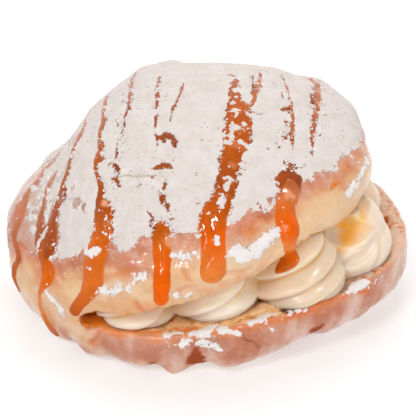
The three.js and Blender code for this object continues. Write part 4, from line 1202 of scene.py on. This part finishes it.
# painted light: the front rosettes under the dome are lightened against its shade, those in the open at the front
# darkened and the back ones warmed
shade = lerp(np.ones((1, 3)), np.array([[1.05, 1.13, 1.19]]), (smooth(14, 8, x) * smooth(-16, -8, x))[:, None])
shade = lerp(shade, np.array([[0.92, 0.88, 0.82]]), (smooth(10, 16, x) * smooth(37, 33, x) * smooth(-14, -22, y))[:, None])
shade = lerp(shade, np.array([[1.06, 0.99, 0.96]]), smooth(-4, 4, y)[:, None])
col = np.clip(col * shade, 0, 0.95)
dull = np.full(len(p), 0.27)
for (_, _, r, c, k), q in zip(GLOW, cast([b[:2] for b in GLOW], cream_field)):
    r = r / 3.68
    near = np.abs(p - q).max(1) < 2.2 * r
    d = np.linalg.norm(p[near] - q, axis=1) + 0.3 * r * noise(p[near], 1.5, 74)
    k = k * smooth(1.75 * r, 0.1 * r, d)
    col[near] = lerp(col[near], srgb(*THROUGH[c])[None], k[:, None])
    dull[near] = np.maximum(dull[near], 0.27 + 0.45 * k)
cream = make_mesh("cream_hi", p, quads, cream_material(), col, {"rough": dull})

# -------------------------------------------------------------- the caramel
p, quads = build_caramel()
near = np.array([car_tree.find(Vector(q))[1] for q in p])
col = car_c[near]
high = np.minimum(bun_field(p), cream_field(p))
film = (0.06 + 0.94 * smooth(0.0, 0.3, high)) * car_f[near]
# painted sheen: a paler tint in patches on the strokes over the dome
wet_sheen = smooth(0.1, 0.6, noise(p, 2.2, 42) + 0.6 * noise(p, 1.1, 43)) * smooth(-1, 2, coat_of(p))
col = lerp(col, srgb(212, 134, 78)[None], 0.22 * wet_sheen[:, None])
# paler spots on the caramel, most of them painted highlights and sheen, in the main view: across, down, radius, tone
SHEEN_TONES = {"milky": (238, 168, 126), "tawny": (205, 122, 72), "bright": (236, 138, 78)}
SHEEN_SPOTS = [
    (170, 242, 5.5, "milky"), (105.6, 203, 4.5, "milky"), (203, 255, 3, "bright"), (218, 254, 2.6, "bright"), (288, 196.5, 6, "milky"), (285.5, 235.5, 3.5, "milky"), (284.5, 228, 4.5, "milky"), (290.4, 259, 3, "milky"), (243, 128, 4, "tawny"), (236, 146, 5, "tawny"), (229, 182, 5, "tawny"), (237, 112, 5, "tawny"), (232, 166, 4, "tawny"), (108, 224, 5, "tawny"),
]
for (_, _, r, c), q in zip(SHEEN_SPOTS, cast([b[:2] for b in SHEEN_SPOTS])):
    r = r / 3.68
    d = np.linalg.norm(p - q, axis=1) + 0.5 * r * noise(p, 0.8 * r, 39)
    col = lerp(col, srgb(*SHEEN_TONES[c])[None], (0.85 * smooth(1.35 * r, 0.4 * r, d))[:, None])
caramel = make_mesh("caramel", p, quads, caramel_material(), col, {"film": film})
caramel.visible_shadow = caramel.visible_diffuse = False  # clear: light passes to the crust below

# ---------------------------------------------------------------- the sugar
p, faces, col = build_sugar()
powder = sugar_material()
sugar = make_mesh("sugar", p, faces, powder, col)
p, faces = build_specks(bun_p, bun_n)
specks = make_mesh("sugar_grains", p, faces, powder, np.tile(srgb(232, 223, 218), (len(p), 1)))

# ---------------------------------------------------------------- staging
pieces = (bun, cream, caramel, sugar, specks)
for ob in pieces:
    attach(ob, "root")
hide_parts("bun")
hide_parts("cream")

floor_mat, nt, b = nodes_of("floor")
g = grain(nt, 400.0, 1.0)
v = span(nt, g.outputs["Fac"], 0.58, 0.6)
comb = nt.nodes.new("ShaderNodeCombineColor")
for key in ("Red", "Green", "Blue"):
    nt.links.new(v, comb.inputs[key])
nt.links.new(comb.outputs["Color"], b.inputs["Base Color"])
b.inputs["Roughness"].default_value = 0.9
b.inputs["Specular IOR Level"].default_value = 0.0
b.inputs["Emission Color"].default_value = (1, 1, 1, 1)
b.inputs["Emission Strength"].default_value = 0.45
me = bpy.data.meshes.new("floor")
R = 4.0
me.from_pydata([(-R, -R, 0), (R, -R, 0), (R, R, 0), (-R, R, 0)], [], [(0, 1, 2, 3)])
me.materials.append(floor_mat)
floor = bpy.data.objects.new("floor", me)
bpy.context.scene.collection.objects.link(floor)
floor.visible_glossy = False

world = bpy.data.worlds.new("studio")
bpy.context.scene.world = world
world.use_nodes = True
bg = world.node_tree.nodes["Background"]
wt = world.node_tree
co = wt.nodes.new("ShaderNodeTexCoord")
sep = wt.nodes.new("ShaderNodeSeparateXYZ")
wt.links.new(co.outputs["Generated"], sep.inputs[0])
wt.links.new(span(wt, sep.outputs["Y"], 0.09, 1.1, -0.6, 0.9), bg.inputs["Strength"])
bg.inputs["Color"].default_value = (1, 1, 1, 1)


def area(name, at, aim, size, power):
    d = bpy.data.lights.new(name, "AREA")
    d.shape = "DISK"
    d.size = size
    d.energy = power
    ob = bpy.data.objects.new(name, d)
    ob.location = at
    ob.rotation_euler = (Vector(aim) - Vector(at)).to_track_quat("-Z", "Y").to_euler()
    bpy.context.scene.collection.objects.link(ob)
    return ob


key = area("key", (-0.8, -1.45, 1.9), (0, 0, 0.03), 0.9, 20.3)
top = area("top", (0.0, 0.9, 2.2), (0, 0, 0.03), 1.4, 12.0)
side = area("side", (1.7, -0.3, 0.9), (0, 0, 0.03), 0.9, 1.8)
fill = area("fill", (0.9, -1.6, 1.4), (0, 0, 0.03), 0.9, 9.5)
front = area("front", (-0.1, -1.9, 0.5), (0, 0, 0.03), 1.2, 6.3)
for ob in (key, top, fill, side, front):
    ob.visible_glossy = False
# small lights for the wet glints only
for name, at, size, power in (("glint_a", (0.75, -1.45, 1.9), 0.24, 34.0), ("glint_b", (-0.7, -2.2, 0.22), 0.16, 14.0), ("glint_c", (0.35, -2.3, 0.5), 0.18, 15.0), ("glint_d", (-1.3, -1.6, 1.1), 0.22, 24.0)):
    ob = area(name, at, (0, 0, 0.03), size, power)
    ob.visible_diffuse = False
    ob.visible_transmission = False

cd = bpy.data.cameras.new("camera")
cd.sensor_fit = "HORIZONTAL"
cd.sensor_width = 36.0
cd.lens = FOCAL / 416 * 36.0
cd.clip_start, cd.clip_end = 0.01, 20.0
cam = bpy.data.objects.new("camera", cd)
cam.location = Vector(CAM * 0.001)
cam.rotation_euler = Vector(FW).to_track_quat("-Z", "Y").to_euler()
bpy.context.scene.collection.objects.link(cam)
bpy.context.scene.camera = cam
bpy.context.scene.view_settings.view_transform = "Standard"

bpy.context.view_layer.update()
for ob in pieces:
    print("PIECE", ob.name, len(ob.data.vertices), "points", sum(len(q.vertices) - 2 for q in ob.data.polygons), "triangles")
